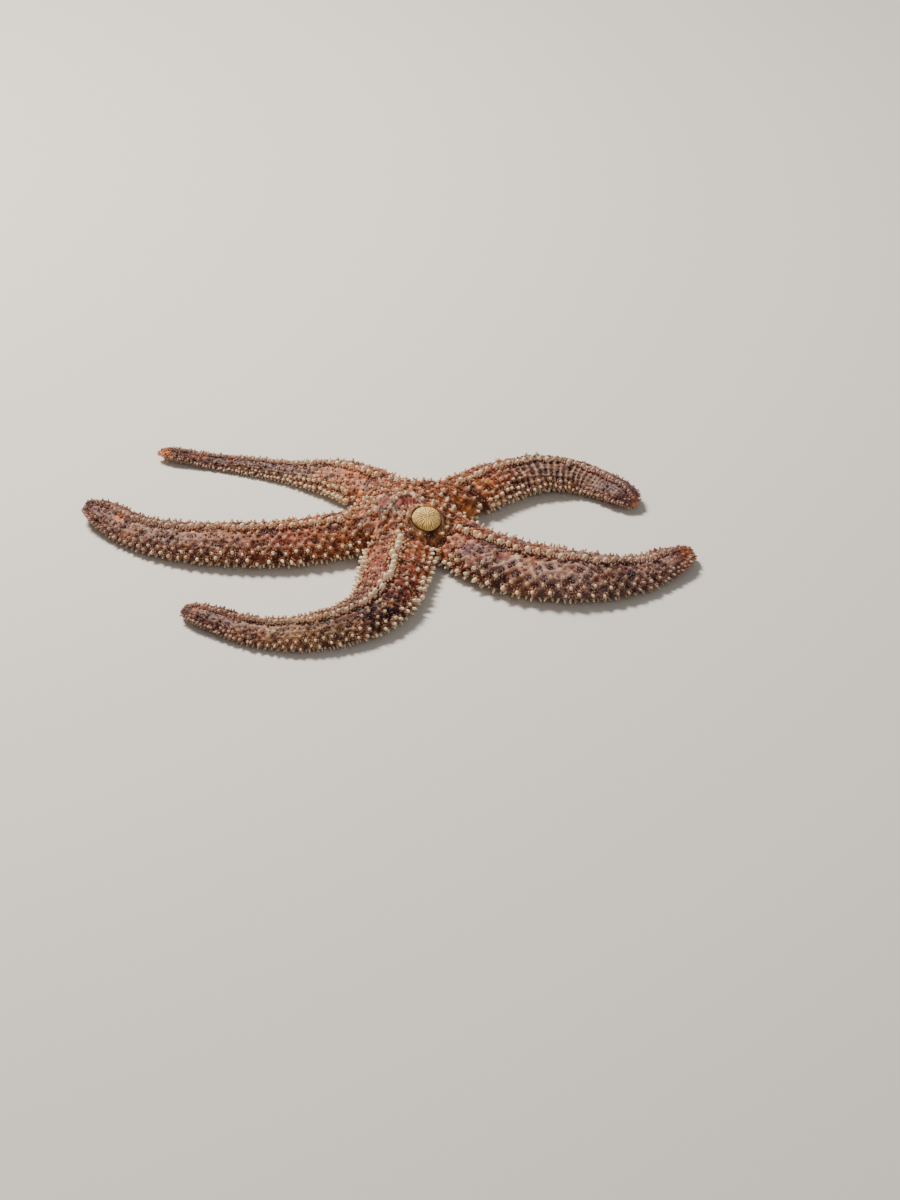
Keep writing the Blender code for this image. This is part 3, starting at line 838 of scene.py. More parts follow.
def skin_finish():
    """Damp leathery hide: the body's colour on the bars, pale on the bosses, dark in the pits, the pits'
    darkness partly their own darker skin and partly painted shade.
    """
    f = damp_finish("skin_hide", 0.04, 0.25, 0.06, 0.002)
    f.shader.inputs["Specular IOR Level"].default_value = 0.22
    plain = f.maths("MAXIMUM", f.mark("bare"), f.steps(f.mark("along"), 0.45, 1.0))
    pallor = f.maths("SUBTRACT", 1.0, f.maths("MULTIPLY", plain, 0.85))
    light = f.blend(f.maths("MULTIPLY", pallor, 0.55), f.tint((1.5, 1.4, 1.4)), (0.60, 0.37, 0.22))
    # dark: colour of the pits, partly their own darker skin and partly painted shade, laid on where the
    # relief's level is low.
    dark = f.tint((0.20, 0.17, 0.24))
    height = f.maths("MAXIMUM", f.mark("relief"), f.maths("MULTIPLY", f.mark("bare"), BAR_LEVEL))
    level = f.maths("ADD", height, f.maths("MULTIPLY_ADD", f.noise(900.0, 4.0), 0.5, -0.25))
    colour = f.blend(f.steps(level, 0.05, 0.42), dark, f.tint((0.85, 0.85, 0.85)))
    colour = f.blend(f.steps(level, 0.50, 0.95), colour, light)
    chalk = f.maths("MULTIPLY", f.steps(level, 0.35, 0.80), f.steps(f.noise(190.0, 2.0), 0.52, 0.66))
    chalk = f.maths("MULTIPLY", chalk, f.maths("MULTIPLY", pallor, 0.85))
    colour = f.blend(chalk, colour, (0.72, 0.50, 0.31))
    speck = f.maths("MULTIPLY", f.steps(f.cells(1500.0), 0.22, 0.12), pallor)
    colour = f.blend(f.maths("MULTIPLY", speck, 0.35), colour, (0.60, 0.42, 0.28))
    stain = f.steps(f.noise(240.0, 3.0, 0.4), 0.58, 0.70)
    colour = f.blend(f.maths("MULTIPLY", stain, 0.5), colour, f.tint((0.45, 0.30, 0.32)))
    straw = f.blend(f.steps(f.noise(220.0, 3.0), 0.35, 0.65), (0.54, 0.25, 0.105), (0.66, 0.42, 0.22))
    straw = f.blend(f.steps(f.mark("relief"), 0.35, 0.80), straw, (0.76, 0.58, 0.38))
    straw = f.blend(f.steps(f.mark("across"), 0.34, 0.18), straw, (0.40, 0.17, 0.070))
    colour = f.blend(f.maths("MULTIPLY", f.mark("under"), 0.85), colour, straw)
    fine = f.bump(f.noise(2600.0, 4.0), 0.00010)
    return f.surface(colour, (500.0, 3.0, -1.1, 1.7), f.bump(f.cells(1500.0), 0.00012, 0.6, fine))


flesh_nodes = ["disc"] + [arm.name + part for arm in ARMS for part in ("_base", "_middle", "_tip")]
place_piece(skin_mesh, skin_finish(), "skin", *flesh_nodes)

# Grids of the finished skin, from which everything that grows out of it takes its root.
skin_normals = point_normals(skin_mesh)
root_grids, start = [], 0
for grid in grids:
    count = grid.shape[0] * grid.shape[1]
    number = skin_number[start:start + count].reshape(grid.shape[:2])
    pattern = flat[start:start + count].reshape(grid.shape[0], grid.shape[1], 2)
    root_grids.append(np.concatenate([skin_points[number], skin_normals[number], pattern,
                                      skin_tint[number], relief[number][..., None],
                                      skin_marked[number][..., None]], axis=-1))
    start += count

Roots = namedtuple("Roots", "point normal flat tint relief marked arm s width")


def roots_at(arm_number, s, rows_of, side):
    """Places on the finished skin, with its normal, pattern, colour and relief. side 0 back, 1 under."""
    values = np.zeros((len(s), 13))
    for index in range(len(ARMS)):
        here = arm_number == index
        rows, columns = rows_of(index, here)
        values[here] = sample(root_grids[2 * index + side], rows, columns)
    width = local_width(arm_number, s)
    return Roots(values[:, :3], unit(values[:, 3:6]), values[:, 6:8], values[:, 8:11], values[:, 11],
                 values[:, 12], arm_number, s, width)


def back_roots(arm_number, s, angle):
    """Places on the back, by arm, share of its length and angle over it."""
    def cell(index, here):
        """Row and column of those of one arm."""
        return back_cell(index, s[here], angle[here])
    return roots_at(arm_number, s, cell, 0)


def under_roots(arm_number, s, t):
    """Places on the underside, by arm, share of its length and share across it."""
    def cell(index, here):
        """Row and column of those of one arm: by station, and by share across."""
        stations = sectors[index].under_stations
        rows = np.interp(s[here], stations, np.arange(len(stations)))
        return rows, 0.5 * (t[here] + 1.0) * UNDER_STEPS
    return roots_at(arm_number, s, cell, 1)


def width_scale(roots, least, most, power=1.0):
    """Size of what grows at each root: from the least share where the arm is thin, by its width."""
    return mix(least, 1.0, (roots.width / STANDARD_WIDTH).clip(0.0, most) ** power)


def pick(roots, keep):
    """The roots that are kept."""
    return Roots(*(values[keep] for values in roots))


# ---------------------------------------------------------------------------------------------
# Spines. Short blunt calcite rods, at most one to a plate: a line down the crest of each arm,
# scattered ones on its flanks and stouter rows along the margins. Each stands in a sheath of
# skin and is cream at its tip.
# ---------------------------------------------------------------------------------------------
PATCH = 0.003                   # side of one small shape's patch on the flat pattern

Shape = namedtuple("Shape", "points faces flat height")


def turned_shape(profile, sides):
    """A closed turned shape of unit size: rings of the profile's radius and height, and two poles."""
    turn = 2.0 * math.pi * np.arange(sides) / sides
    radius, height = np.array(profile[1:-1]).T
    rings = np.stack([radius[:, None] * np.cos(turn), radius[:, None] * np.sin(turn),
                      np.repeat(height[:, None], sides, axis=1)], -1)
    count = len(radius)
    points = np.concatenate([rings.reshape(-1, 3), [[0.0, 0.0, profile[0][1]], [0.0, 0.0, profile[-1][1]]]])
    i, j = np.meshgrid(np.arange(count - 1), np.arange(sides), indexing="ij")
    after = (j + 1) % sides
    quads = np.stack([i * sides + j, i * sides + after, (i + 1) * sides + after, (i + 1) * sides + j], -1)
    k = np.arange(sides)
    next_k = (k + 1) % sides
    low = np.stack([np.full(sides, count * sides), next_k, k], -1)
    top = (count - 1) * sides
    high = np.stack([np.full(sides, count * sides + 1), top + k, top + next_k], -1)
    u = (j + np.array([0, 1, 1, 0])[:, None, None]) / sides
    v = (i + np.array([0, 0, 1, 1])[:, None, None]) / count
    quad_flat = np.stack([u, v], -1).transpose(1, 2, 0, 3).reshape(-1, 2)
    middle, left, right = (k + 0.5) / sides, k / sides, (k + 1) / sides
    edge = np.full(sides, (count - 1) / count)
    low_flat = np.stack([middle, 0 * k - 0.2, right, 0 * k, left, 0 * k], -1).reshape(-1, 3, 2)
    high_flat = np.stack([middle, 0 * k + 1.0, left, edge, right, edge], -1).reshape(-1, 3, 2)
    flat_corners = [quad_flat, np.concatenate([low_flat, high_flat]).reshape(-1, 2)]
    return Shape(points, [quads.reshape(-1, 4), np.concatenate([low, high])], flat_corners, points[:, 2])


def stand(axis, turn):
    """Three directions for each shape: its own axis last, the others square to it and turned."""
    helper = np.where(np.abs(axis[:, 2:3]) < 0.9, [[0.0, 0.0, 1.0]], [[1.0, 0.0, 0.0]])
    first = unit(np.cross(helper, axis))
    second = np.cross(axis, first)
    c, s = np.cos(turn)[:, None], np.sin(turn)[:, None]
    return np.stack([first * c + second * s, second * c - first * s, axis], 1)


def grow(name, shape, roots, axis, radius, length, sink):
    """Copies of one shape, one from each root, joined in one mesh and sunk a little in the skin."""
    turn = random.uniform(0.0, 2.0 * math.pi, len(radius))
    ways = stand(axis, turn)
    size = np.stack([radius, radius, length], -1)
    local = shape.points[None] * size[:, None, :]
    points = np.einsum("nvk,nkd->nvd", local, ways) + (roots.point - axis * sink)[:, None, :]
    count = len(shape.points)
    shift = (np.arange(len(radius)) * count)[:, None, None]
    faces = [(face[None] + shift).reshape(-1, face.shape[1]) for face in shape.faces]
    mesh = fill_mesh(name, points.reshape(-1, 3), faces)
    flats = [(roots.flat[:, None, :] + (corner[None] - 0.5) * PATCH).reshape(-1, 2) for corner in shape.flat]
    lay_flat(mesh, np.concatenate(flats).clip(0.0, 1.0))
    colour_points(mesh, np.repeat(roots.tint, count, axis=0))
    mark(mesh, "along", np.repeat(roots.s, count))
    mark(mesh, "height", np.tile(shape.height, len(radius)))
    mark(mesh, "tone", np.repeat(random.uniform(0.0, 1.0, len(radius)), count))
    return mesh


spine_shape = turned_shape([(0.0, -0.15), (1.10, -0.10), (1.05, 0.20), (0.88, 0.60), (0.72, 0.86),
                            (0.36, 0.98), (0.0, 1.0)], 8)


def spine_finish():
    """Chalky calcite in a thin sheath: pink-brown at the foot, cream at the tip, a little mauve
    towards the arm's end.
    """
    f = damp_finish("spine_calcite", 0.15, 0.3, 0.08, 0.001)
    near = f.blend(f.mark("tone"), (0.78, 0.58, 0.36), (0.92, 0.79, 0.57))
    far = f.blend(f.mark("tone"), (0.24, 0.11, 0.08), (0.52, 0.34, 0.25))
    cream = f.blend(f.steps(f.mark("along"), 0.40, 0.90), near, far)
    sheath = f.tint((1.5, 1.6, 1.8))
    height = f.maths("MULTIPLY_ADD", f.noise(1400.0, 3.0), 0.5, f.mark("height"))
    colour = f.blend(f.steps(height, 0.25, 0.62), sheath, cream)
    stain = f.steps(f.noise(700.0, 2.0), 0.56, 0.75)
    colour = f.blend(f.maths("MULTIPLY", stain, 0.35), colour, (0.45, 0.20, 0.12))
    return f.surface(colour, (800.0, 2.0, -1.2, 2.0), (3000.0, 3.0, 0.00008))


spine_cream = spine_finish()
plate_roots = back_roots(plates.arm, plates.s, plates.angle)
draw = random.uniform(0.0, 1.0, len(plates.s))
# By row, from the crest outwards. The last value is for the plates of the disc.
ROW_CHANCE = np.array([1.0, 0.30, 0.30, 0.45, 0.45, 0.55, 0.55, 0.95, 0.95, 1.0, 1.0, 0.60])
ROW_STOUT = np.array([1.85, 0.85, 0.85, 0.92, 0.92, 0.95, 0.95, 1.30, 1.30, 1.35, 1.35, 1.1])
ROW_LONG = np.array([1.15, 0.85, 0.85, 0.90, 0.90, 0.90, 0.90, 1.10, 1.10, 1.20, 1.20, 0.90])
flank = (plates.row > 0) * (plates.row < MARGIN_ROW)
thinned = 1.0 - 0.7 * (plates.arm == RIBBED_ARM) * ease((plates.s - 0.45) / 0.1) * flank
narrow = ease((0.80 - local_width(plates.arm, plates.s) / STANDARD_WIDTH) / 0.40)
thinned *= 1.0 - 0.60 * narrow * flank
bears = draw < ROW_CHANCE[plates.row] * thinned * (1.0 - plate_roots.marked)
spine_roots = pick(plate_roots, bears)
spine_row = plates.row[bears]
SPINE_RADIUS, SPINE_LENGTH, SPINE_SINK = 0.00056, 0.00190, 0.00015
KNOB_GROWTH = 0.32              # how much larger the knobs of arm_3 are than other crest spines
spine_scale = width_scale(spine_roots, 0.42, 1.25, 0.9)
# The crest of arm_3 carries larger knobs over its inner half.
knobbed = (spine_roots.arm == 2) * (spine_row == 0) * ease((0.55 - spine_roots.s) / 0.15)
spine_scale *= 1.0 + KNOB_GROWTH * knobbed
spine_radius = SPINE_RADIUS * spine_scale * ROW_STOUT[spine_row] * random.uniform(0.85, 1.15, bears.sum())
spine_length = SPINE_LENGTH * spine_scale * ROW_LONG[spine_row] * random.uniform(0.82, 1.15, bears.sum())
spine_axis = unit(spine_roots.normal + random.normal(0.0, 0.10, (bears.sum(), 3)))
place_piece(grow("back_spines", spine_shape, spine_roots, spine_axis, spine_radius, spine_length,
                 SPINE_SINK), spine_cream, "spine")


def under_rows(spacing, shares, starts, end, spread):
    """Places and roots in rows along the underside of every arm. Each row has its share of the
    half width, give or take the spread, and starts at its own share of the root's distance.
    """
    parts = []
    for index, arm in enumerate(ARMS):
        for number, (share, start) in enumerate(zip(shares, np.broadcast_to(starts, len(shares)))):
            s = spaced_along(arm, start * ROOT_DISTANCE / arm.length, end, spacing, 0.5 * (number % 2))
            parts.append((np.full(len(s), index), s, np.full(len(s), share)))
    arm_number, s, t = gather(parts)
    t = t + random.normal(0.0, spread, len(t))
    return arm_number, s, t, under_roots(arm_number, s, t)


LOWER_ROWS = (-0.94, 0.94, -0.81, 0.81, -0.67, 0.67, -0.54, 0.54)
LOWER_RADIUS, LOWER_LENGTH, LOWER_SINK = 0.00048, 0.0021, 0.0002
FLOOR_GAP = 0.0002              # least height of the middle of a spine's or foot's tip
LOWER_STARTS = (0.80, 0.80, 0.62, 0.62, 0.50, 0.50, 0.40, 0.40)
_, lower_s, _, lower_roots = under_rows(UNDER_SPACING, LOWER_ROWS, LOWER_STARTS, 0.975, 0.012)
lower_scale = width_scale(lower_roots, 0.42, 1.25, 0.9)
lower_axis = unit(lower_roots.normal * [1.0, 1.0, 0.35] + random.normal(0.0, 0.08, (len(lower_s), 3)))
lower_length = LOWER_LENGTH * lower_scale * random.uniform(0.85, 1.15, len(lower_s))
reach_down = np.maximum(-lower_axis[:, 2], 0.05)
lower_length = np.minimum(lower_length, (lower_roots.point[:, 2] - FLOOR_GAP) / reach_down)
place_piece(grow("margin_spines", spine_shape, lower_roots, lower_axis, LOWER_RADIUS * lower_scale,
                 lower_length, LOWER_SINK), spine_cream, "spine")

# ---------------------------------------------------------------------------------------------
# Wreaths. Round the foot of each spine of the back sits a cushion of tiny pincers, soft-stalked
# beads that lie close against the spine and stand up a little from the skin.
# ---------------------------------------------------------------------------------------------
BEADS = 9                       # round each spine
BEAD_SINK, BEAD_SPREAD = 0.00010, 0.0022
bead_shape = turned_shape([(0.0, -0.4), (0.95, 0.0), (0.85, 0.65), (0.0, 1.0)], 5)


def wreath_finish():
    """Soft damp flesh, pinkish cream, darker towards the arm's end."""
    f = damp_finish("wreath_flesh", 0.15, 0.2, 0.12, 0.001)
    pale = f.blend(f.mark("tone"), (0.36, 0.14, 0.06), (0.66, 0.42, 0.25))
    far = f.maths("MULTIPLY", f.steps(f.mark("along"), 0.3, 0.8), 0.85)
    colour = f.blend(far, pale, f.tint((1.3, 1.3, 1.4)))
    colour = f.blend(f.steps(f.mark("height"), -0.1, 0.6), f.tint(), colour)
    return f.surface(colour, (900.0, 2.0, -0.8, 1.8), (3500.0, 2.0, 0.00005))


def place_halves(name, shape, roots, axis, radius, length, sink, finish):
    """Copies of one shape in two pieces, every other copy in each, so that neither is too large."""
    even = np.arange(len(radius)) % 2 == 0
    for half, keep in (("_a", even), ("_b", ~even)):
        mesh = grow(name + half, shape, pick(roots, keep), axis[keep], radius[keep], length[keep], sink)
        place_piece(mesh, finish, "skin")


def wreaths(roots, axis, radius):
    """Places of the beads: a ring of them round each root, with uneven gaps and distances."""
    count = len(radius)
    turn = (np.arange(BEADS)[None, :] + random.uniform(0.0, 0.6, (count, BEADS))) * 2.0 * math.pi / BEADS
    ways = stand(axis, np.zeros(count))
    out = ways[:, None, 0] * np.cos(turn)[..., None] + ways[:, None, 1] * np.sin(turn)[..., None]
    reach = radius[:, None] * random.uniform(1.35, 1.95, (count, BEADS))
    points = roots.point[:, None] + out * reach[..., None]
    lean = unit(roots.normal[:, None] + 0.45 * out)
    flat_places = roots.flat[:, None] + BEAD_SPREAD * np.stack([np.cos(turn), np.sin(turn)], -1)
    beads = Roots(*(np.repeat(values, BEADS, axis=0) for values in roots))
    beads = beads._replace(point=points.reshape(-1, 3), flat=flat_places.reshape(-1, 2))
    return beads, lean.reshape(-1, 3), np.repeat(radius, BEADS)


bead_roots, bead_axis, bead_spine = wreaths(spine_roots, spine_axis, spine_radius)
bead_radius = bead_spine * random.uniform(0.38, 0.56, len(bead_spine))
bead_length = bead_radius * random.uniform(1.6, 2.3, len(bead_spine))
place_halves("wreaths", bead_shape, bead_roots, bead_axis, bead_radius, bead_length, BEAD_SINK,
             wreath_finish())

# ---------------------------------------------------------------------------------------------
# Gills. Soft finger-like blisters of thin skin stand scattered in the pits between the plates,
# all over the back. They are filled with body fluid and look mauve and slightly clear.
# ---------------------------------------------------------------------------------------------
gill_shape = turned_shape([(0.0, -0.2), (0.85, -0.1), (1.0, 0.60), (0.66, 0.92), (0.0, 1.0)], 5)
GILLS = 9000                    # the most there may be
GILL_TRIES = 3 * GILLS
GILL_CLEARANCE = 0.0016         # from the rim of the madreporite
FULL_GILL_WIDTH = 0.016         # half width at which gills are as many as they can be
GILL_RADIUS, GILL_LENGTH, GILL_SINK = 0.00026, 0.00095, 0.00005


def gill_finish():
    """Thin wet skin: mauve brown with a paler tip."""
    f = damp_finish("gill_skin", 0.25, 0.12, 0.2, 0.001)
    tip = f.blend(f.mark("tone"), f.tint((0.8, 0.8, 1.1)), (0.42, 0.25, 0.20))
    colour = f.blend(f.steps(f.mark("height"), 0.1, 1.0), f.tint((0.45, 0.42, 0.6)), tip)
    return f.surface(colour, (900.0, 2.0, -0.8, 2.2), (3000.0, 2.0, 0.00004))


gill_arm = random.choice(len(ARMS), GILL_TRIES, p=lengths / lengths.sum())
gill_s = random.uniform(0.02, 0.97, GILL_TRIES)
gill_angle = np.arccos(random.uniform(-0.97, 0.97, GILL_TRIES))
gill_roots = back_roots(gill_arm, gill_s, gill_angle)
near_middle = np.where(gill_s < 0.2, (gill_s / 0.2).clip(0.1, 1.0), 1.0)
share_of_area = (gill_roots.width / FULL_GILL_WIDTH) * near_middle
in_pit = (gill_roots.relief < 0.30) & (random.uniform(0.0, 1.0, GILL_TRIES) < share_of_area)
in_pit &= gill_roots.marked < 0.6
clear = np.linalg.norm(gill_roots.point - seat_middle, axis=1) > MADREPORITE_RADIUS + GILL_CLEARANCE
gill_roots = pick(gill_roots, np.flatnonzero(in_pit & clear)[:GILLS])
gill_scale = width_scale(gill_roots, 0.4, 1.2)
gill_count = len(gill_scale)
gill_axis = unit(gill_roots.normal + random.normal(0.0, 0.22, (gill_count, 3)))
gill_radius = GILL_RADIUS * gill_scale * random.uniform(0.7, 1.2, gill_count)
gill_length = GILL_LENGTH * gill_scale * random.uniform(0.5, 1.2, gill_count)
place_halves("gills", gill_shape, gill_roots, gill_axis, gill_radius, gill_length, GILL_SINK,
             gill_finish())

# ---------------------------------------------------------------------------------------------
# The madreporite. A round chalky sieve plate, cream and slightly domed, whose face is cut by
# fine wavy furrows that run out from its middle to its rim. It is bedded in the skin.
# ---------------------------------------------------------------------------------------------
SIEVE_RINGS, SIEVE_SIDES = 54, 240
FURROWS = ((11, 1.0), (22, 1.7), (37, 2.4))     # number of furrows, and how far they wander
SIEVE_RIM, SIEVE_CROWN, SIEVE_FOOT = 0.0017, 0.0011, 0.0003
SIEVE_SWELL = 0.00010
FURROW_DEPTH = (0.00016, 0.00011)               # at the middle and at the rim


def close_polar(x, y, height, level):
    """A polar grid with its seam joined, closed by a flat side at a level: its rim and middle."""
    face = np.stack([x, y, height], -1)
    rim = np.stack([x[-1:], y[-1:], np.full_like(x[-1:], level)], -1)
    middle = np.zeros_like(rim) + [0.0, 0.0, level]
    grid = np.concatenate([face, rim, middle])
    return np.concatenate([grid, grid[:, :1]], axis=1)


def polar_values(values, filler, first):
    """Values of a polar grid at the joined points, with a filler on its flat side."""
    values = np.concatenate([values, filler + 0.0 * values[:2]])
    return np.concatenate([values, values[:, :1]], axis=1).reshape(-1)[first]


def lay_polar(mesh, grid, faces, width):
    """The flat pattern of a polar grid: its own plan, as a share of a width."""
    lay_flat(mesh, grid[..., :2].reshape(-1, 2) / width + 0.5, faces)


def madreporite_mesh():
    """A dome on a polar grid. Furrows: a sine round the plate whose count grows outwards in three
    steps and whose phase wanders with smooth noise, so that they twist and fork.
    """
    share = np.linspace(0.0, 1.0, SIEVE_RINGS + 1)[:, None]
    turn = (2.0 * math.pi * np.arange(SIEVE_SIDES) / SIEVE_SIDES)[None, :]
    spread = np.stack([share * np.cos(turn), share * np.sin(turn), 0.0 * share * turn], -1)
    wander = 0.8 * waves(spread.reshape(-1, 3), 0.75, 21).reshape(spread.shape[:2])
    wander += 0.4 * waves(spread.reshape(-1, 3), 0.28, 22).reshape(spread.shape[:2])
    few, some, many = (np.sin(count * turn + scale * wander) for count, scale in FURROWS)
    furrow = mix(mix(few, some, ease((share - 0.30) / 0.16)), many, ease((share - 0.62) / 0.16))
    furrow = furrow * ease(share / 0.14) * ease((1.0 - share) / 0.08)
    outline = 1.0 + 0.022 * np.sin(3 * turn + 0.4) + 0.014 * np.sin(5 * turn + 2.0)
    outline = MADREPORITE_RADIUS * (outline + 0.006 * np.sin(37 * turn))
    edge = np.sqrt(1.0 - 0.96 * share ** 8)
    dome = SIEVE_RIM + SIEVE_CROWN * (1.0 - share ** 2) + SIEVE_SWELL * wander * (1.0 - share ** 4)
    height = SIEVE_FOOT + dome * edge + mix(*FURROW_DEPTH, share) * furrow
    radius = outline * share * 0.985
    grid = close_polar(radius * np.cos(turn), radius * np.sin(turn), height, SIEVE_FOOT)
    points, number, first, faces = join_grids([grid], [False])
    ways = stand(seat_normal[None], np.zeros(1))[0]
    mesh = fill_mesh("sieve_plate", points @ ways + seat_middle - SEAT_SINK * seat_normal,
                     [number[face] for face in faces])
    lay_polar(mesh, grid, faces, 2.3 * MADREPORITE_RADIUS)
    # The rim and the hidden flat side read as the deepest furrow, so the plate's side darkens downwards to
    # the furrows' tan: painted shade round the edge of the plate.
    mark(mesh, "furrow", polar_values(furrow, -1.0, first))
    return mesh


def sieve_finish():
    """Dry chalk, cream on the ridges and tan in the furrows, the tan partly their own colour and partly
    painted shade; the plate's side darkens downwards to the same tan, painted shade round its edge.
    """
    f = Finish("sieve_chalk", {"Specular IOR Level": 0.2})
    ridge = f.blend(f.steps(f.noise(420.0, 3.0), 0.35, 0.65), (0.92, 0.58, 0.16), (0.97, 0.83, 0.37))
    # Tan in the furrows: partly their own colour, partly painted shade.
    colour = f.blend(f.steps(f.mark("furrow"), -0.75, 0.4), (0.42, 0.175, 0.040), ridge)
    stain = f.steps(f.noise(240.0, 4.0, 0.6), 0.52, 0.68)
    colour = f.blend(f.maths("MULTIPLY", stain, 0.45), colour, (0.52, 0.25, 0.075))
    return f.surface(colour, (700.0, 2.0, -1.5, 1.8), (3200.0, 3.0, 0.00006))


place_piece(madreporite_mesh(), sieve_finish(), "sieve_plate", "madreporite")

# ---------------------------------------------------------------------------------------------
# Terminal plates. Each arm ends in a small rounded plate under thin skin of the arm's colour.
# The red eyespot is at its very end, just above the end of the groove.
# ---------------------------------------------------------------------------------------------
TERMINAL_LENGTH = 0.0028
END_RINGS, END_BACK, END_UNDER = 15, 25, 19     # points along, over and under the end of an arm
KNOB_LEVEL, KNOB_HEIGHT, KNOB_LENGTH = 0.00010, 0.00008, 0.0011


def terminal_mesh(index):
    """The round end of the arm, a little proud of the skin, with shallow knobs."""
    arm = ARMS[index]
    start = 1.0 - TERMINAL_LENGTH / arm.length
    s = 1.0 - (1.0 - start) * np.cos(np.linspace(0.0, math.pi / 2, END_RINGS)) ** 2
    back = back_surface(index, s, np.linspace(0.0, math.pi, END_BACK)) + DISC_CENTRE
    under = under_surface(index, s, np.linspace(-1.0, 1.0, END_UNDER)) + DISC_CENTRE
    ring = np.concatenate([back[:1], under[:1, 1:]], axis=1)
    middle = ring.mean(1, keepdims=True)
    cap = np.concatenate([ring, np.repeat(middle, ring.shape[1], axis=1)])
    points, number, _, faces = join_grids([back, under, cap], [True, True, False])
    mesh = fill_mesh(arm.name + "_end_plate", points, [number[face] for face in faces])
    knobs = KNOB_LEVEL + KNOB_HEIGHT * waves(points, KNOB_LENGTH, 5)
    points = points + point_normals(mesh) * knobs[:, None]
    move_points(mesh, points)
    _, _, heading = trace(arm, np.array([1.0]))
    way = np.array([math.cos(heading[0]), math.sin(heading[0]), 0.0])
    outward = (points - middle[0, 0]) @ way / TERMINAL_LENGTH
    mark(mesh, "outward", outward)
    share = 1.0 + (outward.clip(0.0, 1.0) - 1.0) * TERMINAL_LENGTH / arm.length
    colour_points(mesh, body_tint(points, np.full(len(points), index), share)[0])
    plan = (points - points.min(0)) / np.ptp(points, axis=0).max()
    lay_flat(mesh, 0.05 + 0.9 * plan[:, :2], [number[face] for face in faces])
    return mesh


def end_finish():
    """Thin skin over a chalky plate: the arm's colour, then orange, then the red eyespot."""
    f = damp_finish("end_skin", 0.3, 0.2, 0.1, 0.001)
    outward = f.maths("MULTIPLY_ADD", f.noise(900.0, 3.0), 0.4, f.mark("outward"))
    mottle = f.steps(f.noise(1300.0, 3.0), 0.40, 0.62)
    colour = f.blend(mottle, f.tint((0.6, 0.6, 0.6)), f.tint((1.3, 1.3, 1.3)))
    colour = f.blend(f.steps(outward, 0.92, 1.12), colour, (0.60, 0.15, 0.035))
    colour = f.blend(f.steps(outward, 1.08, 1.20), colour, (0.45, 0.025, 0.012))
    return f.surface(colour, (900.0, 2.0, -1.0, 2.0), (2600.0, 3.0, 0.00008))


end_skin = end_finish()
for index, arm in enumerate(ARMS):
    place_piece(terminal_mesh(index), end_skin, "eyespot", arm.name + "_terminal_plate")

# ---------------------------------------------------------------------------------------------
# The mouth. A soft round membrane drawn to a closed pucker, and round it five split jaws
# with a fan of blunt spines that point inwards over it.
# ---------------------------------------------------------------------------------------------
MOUTH_OUTER = 0.0083            # the rim is bedded in the lip
MOUTH_TOP = 0.0051              # level of the hidden flat side
MEMBRANE_LEVEL = 0.0040
JAW_LEVEL = 0.0013
LIP_DEPTH, FOLD_DEPTH, PUCKER = 0.0010, 0.00020, 0.0012
JAW_SPLIT, JAW_RIM = 0.0004, 0.0012
MOUTH_RINGS, MOUTH_SIDES = 56, 160
FOLDS = 26
jaw_bearing = np.radians([arm.heading + (following.heading - arm.heading) % 360 / 2
                          for arm, following in zip(ARMS, ARMS[1:] + ARMS[:1])])


def mouth_mesh():
    """A polar grid. Membrane: a shallow bowl gathered in radial folds round the closed opening.
    Jaws: five wedges, their points inwards, where the distance out beats the angle from the middle.
    """
    share = np.linspace(0.0, 1.0, MOUTH_RINGS + 1)[:, None]
    turn = (2.0 * math.pi * np.arange(MOUTH_SIDES) / MOUTH_SIDES)[None, :]
    aside = np.min([np.abs(np.angle(np.exp(1j * (turn - bearing)))) for bearing in jaw_bearing], axis=0)
    jaw = ease((share - 0.46 - 0.85 * aside) / 0.16)
    split = JAW_SPLIT * np.exp(-(aside * share / 0.035) ** 2) * jaw
    lips = np.exp(-((share - 0.13) / 0.08) ** 2)
    folds = 0.5 + 0.5 * np.cos(FOLDS * turn + 0.8 * np.sin(5 * turn))
    height = MEMBRANE_LEVEL - LIP_DEPTH * lips * (0.5 + 0.5 * folds)
    height = height + FOLD_DEPTH * folds * ease((0.55 - share) / 0.3)
    level = JAW_LEVEL + split + JAW_RIM * ease((share - 0.84) / 0.16)
    height = mix(height + PUCKER * np.exp(-(share / 0.05) ** 2), level, jaw)
    radius = MOUTH_OUTER * share
    grid = close_polar(radius * np.cos(turn), radius * np.sin(turn), height, MOUTH_TOP)
    points, number, first, faces = join_grids([grid], [True])
    mesh = fill_mesh("mouth_membrane", points + DISC_CENTRE, [number[f] for f in faces])
    lay_polar(mesh, grid, faces, 2.2 * MOUTH_OUTER)
    mark(mesh, "jaw", polar_values(jaw, 0.0, first))
    mark(mesh, "out", polar_values(share + 0.0 * jaw, 0.0, first))
    return mesh


def mouth_finish():
    """Soft wet flesh: straw-orange membrane, dark at the opening and in the folds, paler jaws."""
    f = damp_finish("mouth_flesh", 0.4, 0.15, 0.15, 0.002)
    soft = f.blend(f.noise(400.0, 3.0), (0.38, 0.15, 0.07), (0.58, 0.31, 0.16))
    soft = f.blend(f.steps(f.mark("out"), 0.20, 0.06), soft, (0.10, 0.022, 0.012))
    hard = f.blend(f.noise(300.0, 3.0), (0.54, 0.25, 0.105), (0.70, 0.46, 0.25))
    colour = f.blend(f.steps(f.mark("jaw"), 0.25, 0.9), soft, hard)
    return f.surface(colour, (500.0, 2.0, -1.0, 2.4), (1600.0, 3.0, 0.00012))


place_piece(mouth_mesh(), mouth_finish(), "mouth", "mouth")

